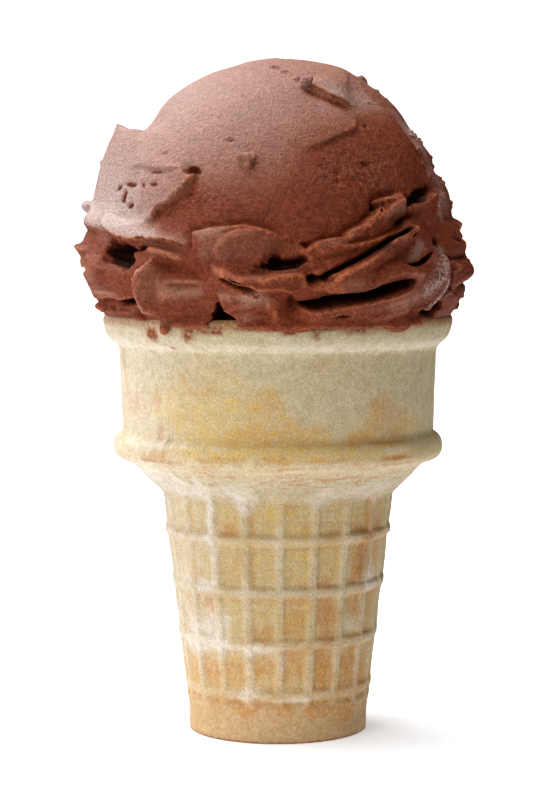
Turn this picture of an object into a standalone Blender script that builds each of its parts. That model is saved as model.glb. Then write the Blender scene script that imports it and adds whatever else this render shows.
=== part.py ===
"""One scoop of chocolate ice cream in a flat-bottomed wafer cup.

Metres, +Z up. The origin is the middle of the foot's flat underside, and the side with the
tongues and folds of ice cream faces -Y. Sizes below are in millimetres and angles in degrees.
An azimuth is 0 at the front (-Y) and grows towards +X.
"""

import math
import random

import bpy
import numpy as np

MM = 0.001

# Wafer cup
CUP_HEIGHT = 76.2
RIM_RADIUS = 31.85
RIM_THICKNESS = 2.6
WALL = 2.0
FLOOR = 2.2
BASE_RADIUS = 16.4
BASE_BAND = 5.0
FOOT_TOP = 43.4
FOOT_BOTTOM_RADIUS = 17.05
FOOT_TAPER = 0.1155
PANEL_DEPTH = 0.4
COLLAR_HEIGHT = 52.1
COLLAR_REACH = 1.75
BARREL_BOTTOM = 55.1
BARREL_BOTTOM_RADIUS = 28.4
BARREL_TOP = 69.8
BARREL_TOP_RADIUS = 28.95
CUP_SEGMENTS = 40

# Lattice on the foot
RIB_COUNT = 20
RIB_FIRST_AZIMUTH = 1.0
RIB_FACE = 1.1
RIB_ROOT = 2.2
RIB_ROOT_DEPTH = 1.2
RIB_BOTTOM = 6.2
RIB_TOP = 45.0
RING_FIRST_HEIGHT = 8.7
RING_PITCH = 9.4
RING_REACH = (0.1, 0.15, 0.2, 0.4)
RING_HALF_FACE = 0.6
RING_HALF_ROOT = 1.2

# Ice cream
SCOOP_TOP = 122.0
SCOOP_EQUATOR = 86.0
SCOOP_RADIUS = 33.0
SCOOP_UPPER_REACH = 36.6
SCOOP_LOWER_REACH = 34.0
SKIRT_HEIGHT = 84.0
SKIRT_REACH = 1.9
SKIRT_SPREAD = 5.0
GAP = 0.35
SCULPT_SEGMENTS = 240
SCULPT_STEP = 0.7
SCULPT_KEPT = 0.09
FILL_SEGMENTS = 40

# Proud slab that the scoop's edge left on one side
SLAB_AZIMUTH = -95.0
SLAB_HALF_WIDTH = 42.0
SLAB_TOP = 108.6
SLAB_BOTTOM = 86.0
SLAB_REACH = 2.3
SLAB_TOP_REACH = 3.9

# Folds: name, rise, width above, width below, route of (azimuth, height)
FRONT_FOLDS = (
    ("left_flat", -0.9, 4.0, 2.0, ((-115, 111.5), (-55, 111.5))),
    ("right_flat", -0.9, 5.0, 8.0, ((45, 110.5), (130, 110.5))),
    ("curl", 1.5, 1.1, 1.4, ((-104, 95.2), (-90, 95.4), (-80, 95))),
    ("nub", 0.7, 1.0, 2.4, ((-102, 87.7), (-90, 88.3), (-78, 87.7))),
    ("left_lobe", 1.0, 3.0, 2.0, ((-90, 83.5), (-72, 82.5), (-60, 82.5))),
    ("left_hollow", -3.8, 1.6, 1.6, ((-62, 87.6), (-55, 87.9), (-48, 87.4))),
    ("lobe_crevice", -2.4, 1.2, 1.2, ((-70, 79.2), (-58, 78.9), (-50, 79.0))),
    ("tongue_edge", 2.0, 1.6, 1.6, ((-43.5, 87), (-48, 83.6), (-49, 81.8), (-47.5, 79), (-43, 77))),
    ("tongue", 1.3, 3.0, 3.0, ((-42, 79.5), (-34, 79), (-26, 79))),
    ("tongue_crevice", -3.0, 1.3, 1.3, ((-19, 79.3), (-17.5, 76.5))),
    ("middle_tongue", 1.3, 2.5, 3.0, ((-15, 80), (-8, 79.5), (0, 79))),
    ("upper_flap", 1.5, 0.9, 4.0, ((-27, 88.3), (-24, 90.8), (-18, 91.8), (-10, 92.1), (0, 89.8))),
    ("cross_band", 1.8, 1.2, 1.4, ((-34, 87), (-26, 86.6), (-20, 85.7), (-12, 83.9), (8, 83))),
    ("long_band", 1.2, 1.2, 1.4, ((8, 82.6), (16, 82.6), (24, 83.2), (32, 84.2), (44, 84.6))),
    ("centre_hollow", -3.4, 1.3, 1.3, ((-3, 86.2), (3, 86.3), (8, 85.8))),
    ("upper_groove", -3.2, 1.2, 1.2, ((10, 83.9), (18, 85), (24, 86.7), (30, 88.2), (46, 91.9))),
    ("upper_sheet", 1.7, 0.9, 4.0, ((6, 88.2), (20, 90.2), (26, 92.3), (31, 94.3), (43, 97.8))),
    ("second_sheet", 1.6, 0.9, 1.8, ((20, 84.7), (29, 86.6), (36, 88.4), (41, 90.1), (50, 92))),
    ("lower_groove", -4.2, 1.4, 1.4, ((5, 78.9), (14, 79), (22, 79.9), (31, 81.3), (45, 83.3))),
    ("lower_sheet", 1.6, 1.0, 3.5, ((12, 77.5), (20, 78.8), (29, 79.6), (38, 80.7), (54, 84.5))),
    ("side_hole", -3.8, 1.3, 1.3, ((48, 96.4), (52, 97.4), (54, 98.3))),
    ("right_lobe", 0.8, 2.0, 2.5, ((64, 89), (80, 88), (92, 85), (104, 85))),
    ("right_crevice", -2.6, 1.2, 1.2, ((62, 84), (66, 80.5), (64, 78))),
)

# Folds round the far side, made by rule
BACK_FOLD_COUNT = 8
BACK_FIRST_AZIMUTH = 96.0
BACK_LAST_AZIMUTH = 264.0
BACK_LOWEST = 78.2
BACK_HIGHEST = 94.0
BACK_SEED = 11


def clear_scene():
    for obj in list(bpy.data.objects):
        bpy.data.objects.remove(obj, do_unlink=True)


def new_collection(name):
    collection = bpy.data.collections.new(name)
    bpy.context.scene.collection.children.link(collection)
    return collection


def linear(channel):
    return channel / 12.92 if channel <= 0.04045 else ((channel + 0.055) / 1.055) ** 2.4


def plain_material(name, colour, roughness):
    material = bpy.data.materials.new(name)
    material.use_nodes = True
    shader = material.node_tree.nodes["Principled BSDF"]
    shader.inputs["Base Color"].default_value = [linear(c / 255) for c in colour] + [1.0]
    shader.inputs["Roughness"].default_value = roughness
    shader.inputs["Metallic"].default_value = 0.0
    return material


def ellipse_arc(centre, reach, half_height, start, end, count):
    """Points on an ellipse in the (radius, height) plane, from one angle to another."""
    points = []
    for i in range(count):
        t = math.radians(start + (end - start) * i / (count - 1))
        points.append((centre[0] + reach * math.cos(t), centre[1] + half_height * math.sin(t)))
    return points


def turned(name, profile, segments, collection):
    """Turns a profile, given from the top down the outer side, once round Z."""
    mesh = bpy.data.meshes.new(name)
    points = [(r * MM, 0.0, z * MM) for r, z in profile]
    edges = [(i, i + 1) for i in range(len(points) - 1)]
    mesh.from_pydata(points, edges, [])
    obj = bpy.data.objects.new(name, mesh)
    collection.objects.link(obj)
    screw = obj.modifiers.new("Turn", "SCREW")
    screw.steps = segments
    screw.render_steps = segments
    screw.use_merge_vertices = True
    screw.merge_threshold = 0.00001
    return obj


def apply_modifiers(obj):
    """Gives the object its evaluated mesh, so that its points can be moved."""
    bpy.context.view_layer.update()
    graph = bpy.context.evaluated_depsgraph_get()
    mesh = bpy.data.meshes.new_from_object(obj.evaluated_get(graph))
    obj.modifiers.clear()
    obj.data = mesh


def foot_radius(height):
    """Radius of the ribs' outer faces on the tapered foot."""
    return FOOT_BOTTOM_RADIUS + FOOT_TAPER * (height - 8.0)


def foot_profile():
    """The foot's outer side, top to bottom: recessed panels between raised rings."""
    points = [(foot_radius(FOOT_TOP), FOOT_TOP)]
    for number in reversed(range(len(RING_REACH))):
        height = RING_FIRST_HEIGHT + RING_PITCH * number
        for offset, reach in (
            (RING_HALF_ROOT, -PANEL_DEPTH),
            (RING_HALF_FACE, RING_REACH[number]),
            (-RING_HALF_FACE, RING_REACH[number]),
            (-RING_HALF_ROOT, -PANEL_DEPTH),
        ):
            points.append((foot_radius(height + offset) + reach, height + offset))
    points += [(BASE_RADIUS + 0.1, BASE_BAND), (BASE_RADIUS, BASE_BAND - 1.0)]
    points += [(BASE_RADIUS, 0.5), (BASE_RADIUS - 0.5, 0.0), (0.0, 0.0)]
    return points


def cup_outer_profile():
    """The cup's outer side, from the rim's top to the middle of the underside."""
    rim = ellipse_arc((RIM_RADIUS - 0.9, CUP_HEIGHT - 0.9), 0.9, 0.9, 90, 0, 3)
    lip = [(RIM_RADIUS - 0.2, 73.6), (RIM_RADIUS - 1.0, 71.8), (BARREL_TOP_RADIUS + 0.3, 70.5)]
    barrel = [(BARREL_TOP_RADIUS, BARREL_TOP), (BARREL_BOTTOM_RADIUS, BARREL_BOTTOM)]
    collar_centre = (BARREL_BOTTOM_RADIUS, COLLAR_HEIGHT)
    collar = ellipse_arc(collar_centre, COLLAR_REACH, 2.6, 70, 0, 3)
    collar += ellipse_arc(collar_centre, COLLAR_REACH, 2.1, -30, -90, 3)
    shoulder = [(22.2, 44.6)]
    return rim + lip + barrel + collar + shoulder + foot_profile()


def cup_inner_profile():
    """The cup's inner side, from the middle of the floor up to the rim's inner edge."""
    foot_low = foot_radius(4.0) - PANEL_DEPTH - WALL
    foot_high = foot_radius(FOOT_TOP) - PANEL_DEPTH - WALL
    return [
        (0.0, FLOOR),
        (foot_low - 0.8, FLOOR),
        (foot_low, FLOOR + 0.8),
        (foot_high, FOOT_TOP - 0.4),
        (foot_high + 0.9, FOOT_TOP + 1.5),
        (BARREL_BOTTOM_RADIUS - WALL - 1.2, COLLAR_HEIGHT - 1.4),
        (BARREL_BOTTOM_RADIUS - WALL, BARREL_BOTTOM),
        (BARREL_TOP_RADIUS - WALL, BARREL_TOP),
        (RIM_RADIUS - RIM_THICKNESS, CUP_HEIGHT - 0.8),
        (RIM_RADIUS - RIM_THICKNESS + 0.7, CUP_HEIGHT),
    ]


def build_ribs(collection):
    """Upright ribs on the foot, each a bar with draft, its root sunk into the wall."""
    bpy.ops.mesh.primitive_cube_add(size=1)
    bar = bpy.context.object
    for vertex in bar.data.vertices:
        side, depth, height = vertex.co
        z = RIB_BOTTOM if height < 0 else RIB_TOP
        outward = depth < 0
        width = RIB_FACE if outward else RIB_ROOT
        radius = foot_radius(z) - (0.0 if outward else RIB_ROOT_DEPTH)
        vertex.co = (side * width * MM, -radius * MM, z * MM)
    copies = []
    for number in range(RIB_COUNT):
        copy = bar.copy()
        copy.data = bar.data.copy()
        copy.rotation_euler.z = math.radians(RIB_FIRST_AZIMUTH + 360 / RIB_COUNT * number)
        bpy.context.scene.collection.objects.link(copy)
        copies.append(copy)
    bpy.data.objects.remove(bar, do_unlink=True)
    bpy.ops.object.select_all(action="DESELECT")
    for copy in copies:
        copy.select_set(True)
    bpy.context.view_layer.objects.active = copies[0]
    bpy.ops.object.join()
    ribs = bpy.context.object
    ribs.name = "foot_ribs"
    bpy.context.scene.collection.objects.unlink(ribs)
    collection.objects.link(ribs)
    ribs.hide_render = True
    ribs.display_type = "WIRE"
    return ribs


def build_cup(collection, tools):
    """The wafer cup: a turned shell, open at the top, with ribs joined to its foot."""
    profile = cup_inner_profile() + cup_outer_profile()
    cup = turned("wafer_cup", profile, CUP_SEGMENTS, collection)
    union = cup.modifiers.new("Ribs", "BOOLEAN")
    union.operation = "UNION"
    union.object = build_ribs(tools)
    union.solver = "EXACT"
    cup.data.materials.append(plain_material("baked_wafer", (222, 196, 148), 0.75))
    return cup


def dome_radius(height):
    """Plain radius of the scoop at a height: a tall half egg over a wider skirt."""
    above = (height - SCOOP_EQUATOR) / SCOOP_UPPER_REACH
    below = (SCOOP_EQUATOR - height) / SCOOP_LOWER_REACH
    share = max(above, below)
    plain = SCOOP_RADIUS * math.sqrt(max(0.0, 1.0 - share * share))
    return plain + SKIRT_REACH * math.exp(-(((height - SKIRT_HEIGHT) / SKIRT_SPREAD) ** 2))


def dome_profile():
    """Top of the dome, down its side in even steps, and in under the skirt to the middle."""
    skirt_base = CUP_HEIGHT + GAP
    outer = [(0.0, SCOOP_TOP)]
    turn = math.pi / 2
    height = SCOOP_TOP
    while height > skirt_base + SCULPT_STEP:
        turn -= SCULPT_STEP / SCOOP_RADIUS
        egg = SCOOP_EQUATOR + SCOOP_UPPER_REACH * math.sin(turn)
        height = min(egg, SCOOP_TOP - 0.5 * (math.pi / 2 - turn) ** 2)
        outer.append((dome_radius(height), height))
    outer.append((dome_radius(skirt_base), skirt_base))
    outer.append((RIM_RADIUS - RIM_THICKNESS, skirt_base))
    return outer + [(0.0, skirt_base)]


def fill_profile():
    """What fills the cup, from inside the dome down to the floor, clear of the wafer."""
    inner = [(r - GAP if r else 0.0, z) for r, z in reversed(cup_inner_profile())]
    neck = inner[0][0] - GAP
    inner[0] = (neck, CUP_HEIGHT)
    inner[-2] = (inner[-2][0], FLOOR + GAP)
    inner[-1] = (0.0, FLOOR + GAP)
    return [(0.0, CUP_HEIGHT + 4.0), (neck, CUP_HEIGHT + 4.0)] + inner


def back_folds():
    """Ridges and grooves round the far side, one above another, each with its own wave."""
    rng = random.Random(BACK_SEED)
    folds = []
    for number in range(BACK_FOLD_COUNT):
        share = (number + 0.5) / BACK_FOLD_COUNT
        height = BACK_LOWEST + (BACK_HIGHEST - BACK_LOWEST) * share
        start = rng.uniform(BACK_FIRST_AZIMUTH, 150)
        end = rng.uniform(205, BACK_LAST_AZIMUTH)
        phase = rng.uniform(0, 2 * math.pi)
        slope = rng.uniform(-3.0, 3.0)
        route = []
        for i in range(7):
            t = i / 6
            wave = 0.9 * math.sin(phase + 5 * t) + slope * (t - 0.5)
            route.append((start + (end - start) * t, height + wave))
        shape = (rng.uniform(1.0, 1.8), 1.0, 2.4) if number % 2 else (-2.4, 1.2, 1.2)
        folds.append(("back_%d" % number, *shape, tuple(route)))
    return folds


def across_route(azimuth, height, route):
    """Distance in millimetres over the skin from points to a route, and whether they lie above."""
    best = np.full(azimuth.shape, 1e9)
    above = np.zeros(azimuth.shape, bool)
    for (a0, z0), (a1, z1) in zip(route, route[1:]):
        per_degree = math.radians(1.0) * dome_radius((z0 + z1) / 2)
        px = ((azimuth - a0 + 180.0) % 360.0 - 180.0) * per_degree
        pz = height - z0
        sx, sz = (a1 - a0) * per_degree, z1 - z0
        t = np.clip((px * sx + pz * sz) / (sx * sx + sz * sz), 0.0, 1.0)
        distance = np.hypot(px - t * sx, pz - t * sz)
        above = np.where(distance < best, sx * pz - sz * px > 0, above)
        best = np.minimum(best, distance)
    return best, above


def slab(azimuth, height):
    """The proud slab: a sharp ledge along its top, fading out below and to both sides."""
    turn = (azimuth - SLAB_AZIMUTH + 180.0) % 360.0 - 180.0
    across = np.clip(1.0 - (np.abs(turn) / SLAB_HALF_WIDTH) ** 4, 0.0, 1.0)
    up = np.clip((height - SLAB_BOTTOM) / (SLAB_TOP - SLAB_BOTTOM), 0.0, 1.0)
    low_end = np.clip((height - SLAB_BOTTOM + 4.0) / 4.0, 0.0, 1.0)
    reach = SLAB_REACH * low_end + (SLAB_TOP_REACH - SLAB_REACH) * up**2
    return np.where(height < SLAB_TOP, reach * across, 0.0)


def shape_folds(obj):
    """Moves the dome's points in and out, so that its skin has the slab and the folds."""
    mesh = obj.data
    points = np.empty(len(mesh.vertices) * 3, np.float32)
    mesh.vertices.foreach_get("co", points)
    points = points.reshape(-1, 3).astype(float) / MM
    radius = np.hypot(points[:, 0], points[:, 1])
    azimuth = np.degrees(np.arctan2(points[:, 0], -points[:, 1]))
    height = points[:, 2]
    reach = slab(azimuth, height)
    for _, rise, width_above, width_below, route in FRONT_FOLDS + tuple(back_folds()):
        distance, above = across_route(azimuth, height, route)
        near = distance / np.where(above, width_above, width_below)
        reach += rise * np.exp(-(near**2))
    skin = (height > CUP_HEIGHT + 1.0) & (radius > 1.0)
    scale = np.where(skin, (radius + reach) / np.maximum(radius, 1.0), 1.0)
    points[:, 0] *= scale
    points[:, 1] *= scale
    mesh.vertices.foreach_set("co", (points * MM).astype(np.float32).ravel())
    mesh.update()


def build_scoop(collection, tools):
    """The ice cream: the dome over the rim, joined to what fills the cup below it."""
    scoop = turned("ice_cream_scoop", dome_profile(), SCULPT_SEGMENTS, collection)
    apply_modifiers(scoop)
    shape_folds(scoop)
    fewer = scoop.modifiers.new("Fewer faces", "DECIMATE")
    fewer.ratio = SCULPT_KEPT
    fill = turned("cup_filling", fill_profile(), FILL_SEGMENTS, tools)
    fill.hide_render = True
    fill.display_type = "WIRE"
    union = scoop.modifiers.new("Filling", "BOOLEAN")
    union.operation = "UNION"
    union.object = fill
    union.solver = "EXACT"
    apply_modifiers(scoop)
    scoop.data.shade_smooth()
    scoop.data.set_sharp_from_angle(angle=math.radians(45))
    scoop.data.materials.append(plain_material("chocolate_ice_cream", (124, 70, 52), 0.5))
    return scoop


def main():
    clear_scene()
    parts = new_collection("ice_cream_cone")
    tools = new_collection("tools")
    cup = build_cup(parts, tools)
    apply_modifiers(cup)
    cup.data.shade_smooth()
    cup.data.set_sharp_from_angle(angle=math.radians(35))
    build_scoop(parts, tools)


main()
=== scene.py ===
"""Looks of one scoop of chocolate ice cream in a flat-bottomed wafer cup.

The ice cream is carved in two steps. Broad forms are painted as relief over the scoop's skin:
ledges, ridges and hollows that follow named routes. That skin is then turned into a solid field
on a fine grid, where gaps, pits and crumbs are cut and added, and the field is meshed.

Sizes are in millimetres and angles in degrees until a mesh is made. An azimuth is 0 at the
front (-Y) and grows towards +X.
"""

import itertools
import math

import bpy
import numpy as np
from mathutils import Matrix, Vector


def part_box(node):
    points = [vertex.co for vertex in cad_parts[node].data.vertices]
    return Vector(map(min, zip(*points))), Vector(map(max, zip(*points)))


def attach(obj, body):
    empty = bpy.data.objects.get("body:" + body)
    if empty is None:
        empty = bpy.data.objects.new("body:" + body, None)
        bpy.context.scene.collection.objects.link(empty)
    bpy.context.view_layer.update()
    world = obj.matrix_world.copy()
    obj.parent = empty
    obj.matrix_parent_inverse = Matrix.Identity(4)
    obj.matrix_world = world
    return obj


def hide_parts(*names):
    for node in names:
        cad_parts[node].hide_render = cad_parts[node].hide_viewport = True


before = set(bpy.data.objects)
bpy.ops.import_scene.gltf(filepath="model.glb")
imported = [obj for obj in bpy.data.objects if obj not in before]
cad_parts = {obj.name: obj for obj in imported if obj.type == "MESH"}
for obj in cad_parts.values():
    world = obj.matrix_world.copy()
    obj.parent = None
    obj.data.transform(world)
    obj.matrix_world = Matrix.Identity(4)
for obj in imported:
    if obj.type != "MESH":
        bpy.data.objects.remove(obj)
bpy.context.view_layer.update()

MM = 0.001
DEGREE = math.pi / 180
cup_low, cup_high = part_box("wafer_cup")
scoop_low, scoop_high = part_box("ice_cream_scoop")

# ---------------------------------------------------------------- sizes of the wafer cup
CUP_HEIGHT = cup_high.z / MM
RIM_RADIUS = cup_high.x / MM
RIM_THICKNESS = 2.6
WALL = 2.0
FLOOR = 2.2
BASE_RADIUS = 16.4
BASE_BAND = 5.0
FOOT_TOP = 43.4
FOOT_BOTTOM_RADIUS = 17.05
FOOT_TAPER = 0.1155
PANEL_DEPTH = 0.55
COLLAR_HEIGHT = 52.1
COLLAR_REACH = 1.75
BARREL_BOTTOM = 55.1
BARREL_BOTTOM_RADIUS = 28.4
BARREL_TOP = 69.8
BARREL_TOP_RADIUS = 28.95
RIB_COUNT = 20
RIB_PITCH = 360.0 / RIB_COUNT
RIB_FIRST_AZIMUTH = 1.0
RIB_HALF_FACE = 0.3
RIB_HALF_ROOT = 1.35
RING_HEIGHTS = [8.7 + 9.4 * number for number in range(4)]
RING_REACH = (0.1, 0.15, 0.2, 0.4)
RING_HALF_FACE = 0.3
RING_HALF_ROOT = 1.35

# ---------------------------------------------------------------- sizes of the ice cream
SCOOP_TOP = scoop_high.z / MM
SCOOP_EQUATOR = 86.0
SCOOP_RADIUS = 33.0
SCOOP_UPPER_REACH = SCOOP_TOP - SCOOP_EQUATOR + 0.15
SCOOP_LOWER_REACH = 34.0
SKIRT_HEIGHT = 84.0
SKIRT_REACH = 1.9
SKIRT_SPREAD = 5.0
SKIN_BOTTOM = 72.0
SEAT = CUP_HEIGHT - 0.25
SEED = 7
BACK_TURN = 174.0
BACK_DROP = 0.4
SIDE_TURN = 101.0

NEAR_FLOOR = 200.0
STAGE_RADIUS = 1300.0
STAGE_HEIGHT = 2200.0

CHART_STEP = 0.15
GRID_STEP = 0.3
MOST_TRIANGLES = 190000


# ================================================================ small maths
def smooth_step(low, high, value):
    """0 below low, 1 above high, and an even S between."""
    t = np.clip((value - low) / (high - low), 0.0, 1.0)
    return t * t * (3.0 - 2.0 * t)


def soft_max(a, b, blend):
    """The greater of two fields, with the crease between them rounded over blend."""
    h = np.clip(0.5 + 0.5 * (b - a) / blend, 0.0, 1.0)
    return a * (1.0 - h) + b * h + blend * h * (1.0 - h)


def soft_min(a, b, blend):
    return -soft_max(-a, -b, blend)


def turn_between(azimuth, other):
    """Azimuth minus the other, the short way round."""
    return (azimuth - other + 180.0) % 360.0 - 180.0


class Grain:
    """Smooth random values from -1 to 1 through space, the same on each run."""

    def __init__(self, seed, cells=24):
        self.cells = cells
        self.values = np.random.default_rng(seed).uniform(-1, 1, (cells,) * 3).astype(np.float32)

    def at(self, x, y, z):
        parts = []
        for value in (x, y, z):
            whole = np.floor(value)
            share = (value - whole).astype(np.float32)
            low = whole.astype(np.int64) % self.cells
            parts.append((low, (low + 1) % self.cells, share * share * (3 - 2 * share)))
        (x0, x1, fx), (y0, y1, fy), (z0, z1, fz) = parts
        v = self.values
        low = (v[x0, y0, z0] * (1 - fx) + v[x1, y0, z0] * fx) * (1 - fy)
        low += (v[x0, y1, z0] * (1 - fx) + v[x1, y1, z0] * fx) * fy
        high = (v[x0, y0, z1] * (1 - fx) + v[x1, y0, z1] * fx) * (1 - fy)
        high += (v[x0, y1, z1] * (1 - fx) + v[x1, y1, z1] * fx) * fy
        return low * (1 - fz) + high * fz


def smooth_line(route, spacing):
    """Points about every spacing along a smooth curve through the route's (azimuth, along) points."""
    points = np.array(route, float)
    if len(points) == 2:
        points = np.array([points[0], points.mean(0), points[1]])
    ends = np.vstack([2 * points[0] - points[1], points, 2 * points[-1] - points[-2]])
    line = [points[0]]
    for p0, p1, p2, p3 in zip(ends, ends[1:], ends[2:], ends[3:]):
        reach = math.hypot((p2[0] - p1[0]) * 0.55, p2[1] - p1[1])
        count = max(1, int(round(reach / spacing)))
        for step in range(1, count + 1):
            t = step / count
            line.append(
                0.5 * (2 * p1 + (p2 - p0) * t + (2 * p0 - 5 * p1 + 4 * p2 - p3) * t**2
                       + (3 * p1 - p0 - 3 * p2 + p3) * t**3)
            )
    return np.array(line)


# ================================================================ the scoop's skin
def dome_radius(height):
    """Plain radius of the scoop at a height: a tall half egg over a wider skirt."""
    above = (height - SCOOP_EQUATOR) / SCOOP_UPPER_REACH
    below = (SCOOP_EQUATOR - height) / SCOOP_LOWER_REACH
    share = np.maximum(above, below)
    plain = SCOOP_RADIUS * np.sqrt(np.maximum(0.0, 1.0 - share * share))
    return plain + SKIRT_REACH * np.exp(-(((height - SKIRT_HEIGHT) / SKIRT_SPREAD) ** 2))


def fold_top(azimuth):
    """Height at which the torn skirt of folds meets the smooth dome."""
    turns = (-180, -110, -84, -50, -36, -14, 3, 28, 45, 57, 75, 110, 180)
    tops = (94, 93, 92.3, 89.5, 89.3, 92, 88.6, 93.4, 98, 97, 94, 93, 94)
    return np.interp(azimuth, turns, tops)


def slab(azimuth, height):
    """The proud slab on the left: a sharp ledge along its top, fading out below and to both sides."""
    turn = turn_between(azimuth, -95.0)
    across = np.cos(np.clip(turn / 48.0, -1.0, 1.0) * math.pi / 2) ** 1.6
    up = np.clip((height - 86.0) / (108.6 - 86.0), 0.0, 1.0)
    reach = 1.6 * smooth_step(84.0, 89.0, height) + 2.3 * up**2
    return reach * across * smooth_step(108.8, 108.1, height)


def lift_at(azimuth, height):
    """How far the finished surface stands out from the plain skin, roughly."""
    turns = (-180, -90, -50, -46, -20, 15, 45, 57, 70, 90, 180)
    lifts = (1.5, 0.6, 0.6, 2.4, 2.0, 2.0, 2.4, 1.6, 1.2, 1.0, 1.5)
    folds = np.interp(azimuth, turns, lifts) * smooth_step(0.5, -1.0, height - fold_top(azimuth))
    return folds + slab(azimuth, height)


class Skin:
    """The scoop's plain skin, charted by azimuth and by the way along its side from the bottom up."""

    def __init__(self, step):
        turn = np.linspace(math.pi / 2, 0, 400)[:-1]
        egg = SCOOP_EQUATOR + SCOOP_UPPER_REACH * np.sin(turn)
        heights = np.concatenate([np.linspace(SKIN_BOTTOM, SCOOP_EQUATOR, 150), egg[::-1]])
        heights = np.minimum(heights, SCOOP_TOP)
        radii = np.maximum(dome_radius(heights), np.where(heights < 78, 31.55, 0.0))
        keep = np.concatenate([[True], np.diff(heights) > 1e-4])
        self.heights, self.radii = heights[keep], radii[keep]
        self.heights = np.append(self.heights, SCOOP_TOP + 0.001)
        self.radii = np.append(self.radii, 0.0)
        run = np.hypot(np.diff(self.heights), np.diff(self.radii))
        self.along = np.concatenate([[0.0], np.cumsum(run)])
        self.rows = np.arange(0.0, self.along[-1], step)
        self.columns = -180.0 + np.arange(0, 360, math.degrees(step / 33.0))
        self.column_step = 360.0 / len(self.columns)
        self.columns = -180.0 + self.column_step * np.arange(len(self.columns))
        self.step = step
        self.radius_rows = np.interp(self.rows, self.along, self.radii)
        self.height_rows = np.interp(self.rows, self.along, self.heights)
        shape = (len(self.rows), len(self.columns))
        self.relief = np.zeros(shape, np.float32)
        # Painted fields: frost patches, which also paint a highlight along the right-hand edges; roughness; a painted
        # sheen, with some pale dry skin; and painted shade for grooves and holes.
        self.frost = np.zeros(shape, np.float32)
        self.rough = np.zeros(shape, np.float32)
        self.sheen_and_pale_skin = np.zeros(shape, np.float32)
        self.dark = np.zeros(shape, np.float32)
        self.make_waver()

    def along_at(self, height):
        return np.interp(height, self.heights, self.along)

    def seat(self, route):
        """(azimuth, along) of places named as they look from the front, drawn in by the folds' lift."""
        points = []
        for azimuth, height in route:
            if abs(azimuth) < 85:
                radius, lift = float(dome_radius(height)), float(lift_at(azimuth, height))
                sine = math.sin(azimuth * DEGREE) * radius / (radius + lift)
                azimuth = math.degrees(math.asin(sine))
            points.append((azimuth, float(self.along_at(height))))
        return points

    def place(self):
        """Where each cell of the chart is, in millimetres."""
        turn = self.columns[None, :] * DEGREE
        radius = self.radius_rows[:, None]
        x, y = radius * np.sin(turn), -radius * np.cos(turn)
        return x, y, np.broadcast_to(self.height_rows[:, None], x.shape)

    def make_waver(self):
        """How far routes wander sideways and upwards, so that no edge runs true."""
        x, y, z = self.place()
        first, second = Grain(SEED), Grain(SEED + 1)
        self.waver_side = 0.22 * first.at(x / 3.1, y / 3.1, z / 3.1) + 0.1 * first.at(x, y, z * 1.1)
        self.waver_up = 0.2 * second.at(x / 3.4, y / 3.4, z / 2.6) + 0.1 * second.at(x / 1.1, y, z)

    def window(self, line, reach):
        """Row and column numbers of the cells within reach of a line."""
        rows = np.flatnonzero(
            (self.rows > line[:, 1].min() - reach) & (self.rows < line[:, 1].max() + reach)
        )
        if len(rows) == 0:
            return rows, rows
        per_degree = max(0.1, self.radius_rows[rows].min() * DEGREE)
        side = min(170.0, reach / per_degree)
        first = int(math.floor((line[:, 0].min() - side + 180.0) / self.column_step))
        last = int(math.ceil((line[:, 0].max() + side + 180.0) / self.column_step))
        last = min(last, first + len(self.columns) - 1)
        return rows, np.arange(first, last + 1)

    def sample(self, field, azimuth, along):
        """A field's value at any azimuth and way along."""
        column = ((azimuth + 180.0) % 360.0) / self.column_step
        row = np.clip(along / self.step, 0, len(self.rows) - 1.001)
        c0, r0 = np.floor(column).astype(np.int64), np.floor(row).astype(np.int64)
        fc, fr = (column - c0).astype(np.float32), (row - r0).astype(np.float32)
        count = len(self.columns)
        c0, c1 = c0 % count, (c0 + 1) % count
        low = field[r0, c0] * (1 - fc) + field[r0, c1] * fc
        high = field[r0 + 1, c0] * (1 - fc) + field[r0 + 1, c1] * fc
        return low * (1 - fr) + high * fr


def measure(line, azimuth, along, per_degree, reach):
    """How points lie to a line: the distance, positive on the left of travel, and the way from its nearer end."""
    distance = np.full(azimuth.shape, reach * 1.5, np.float32)
    left = np.zeros(azimuth.shape, bool)
    passed = np.zeros(azimuth.shape, np.float32)
    travelled = 0.0
    for (a0, s0), (a1, s1) in zip(line, line[1:]):
        ax, ay = (a0 - azimuth) * per_degree, s0 - along
        dx, dy = (a1 - a0) * per_degree, s1 - s0
        square = dx * dx + dy * dy + 1e-9
        t = np.clip(-(ax * dx + ay * dy) / square, 0.0, 1.0)
        away = np.hypot(ax + t * dx, ay + t * dy)
        nearer = away < distance
        distance = np.where(nearer, away, distance)
        left = np.where(nearer, dy * ax - dx * ay > 0, left)
        length = np.sqrt(square)
        passed = np.where(nearer, travelled + t * length, passed)
        travelled = travelled + float(np.mean(length))
    ends = np.minimum(passed, travelled - passed)
    return np.where(left, distance, -distance), ends, passed / travelled


# How far a ledge's lip curls up, and how far the skin sinks in front of it, as shares of its rise
LIP = 0.22
FOOT = 0.25


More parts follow.
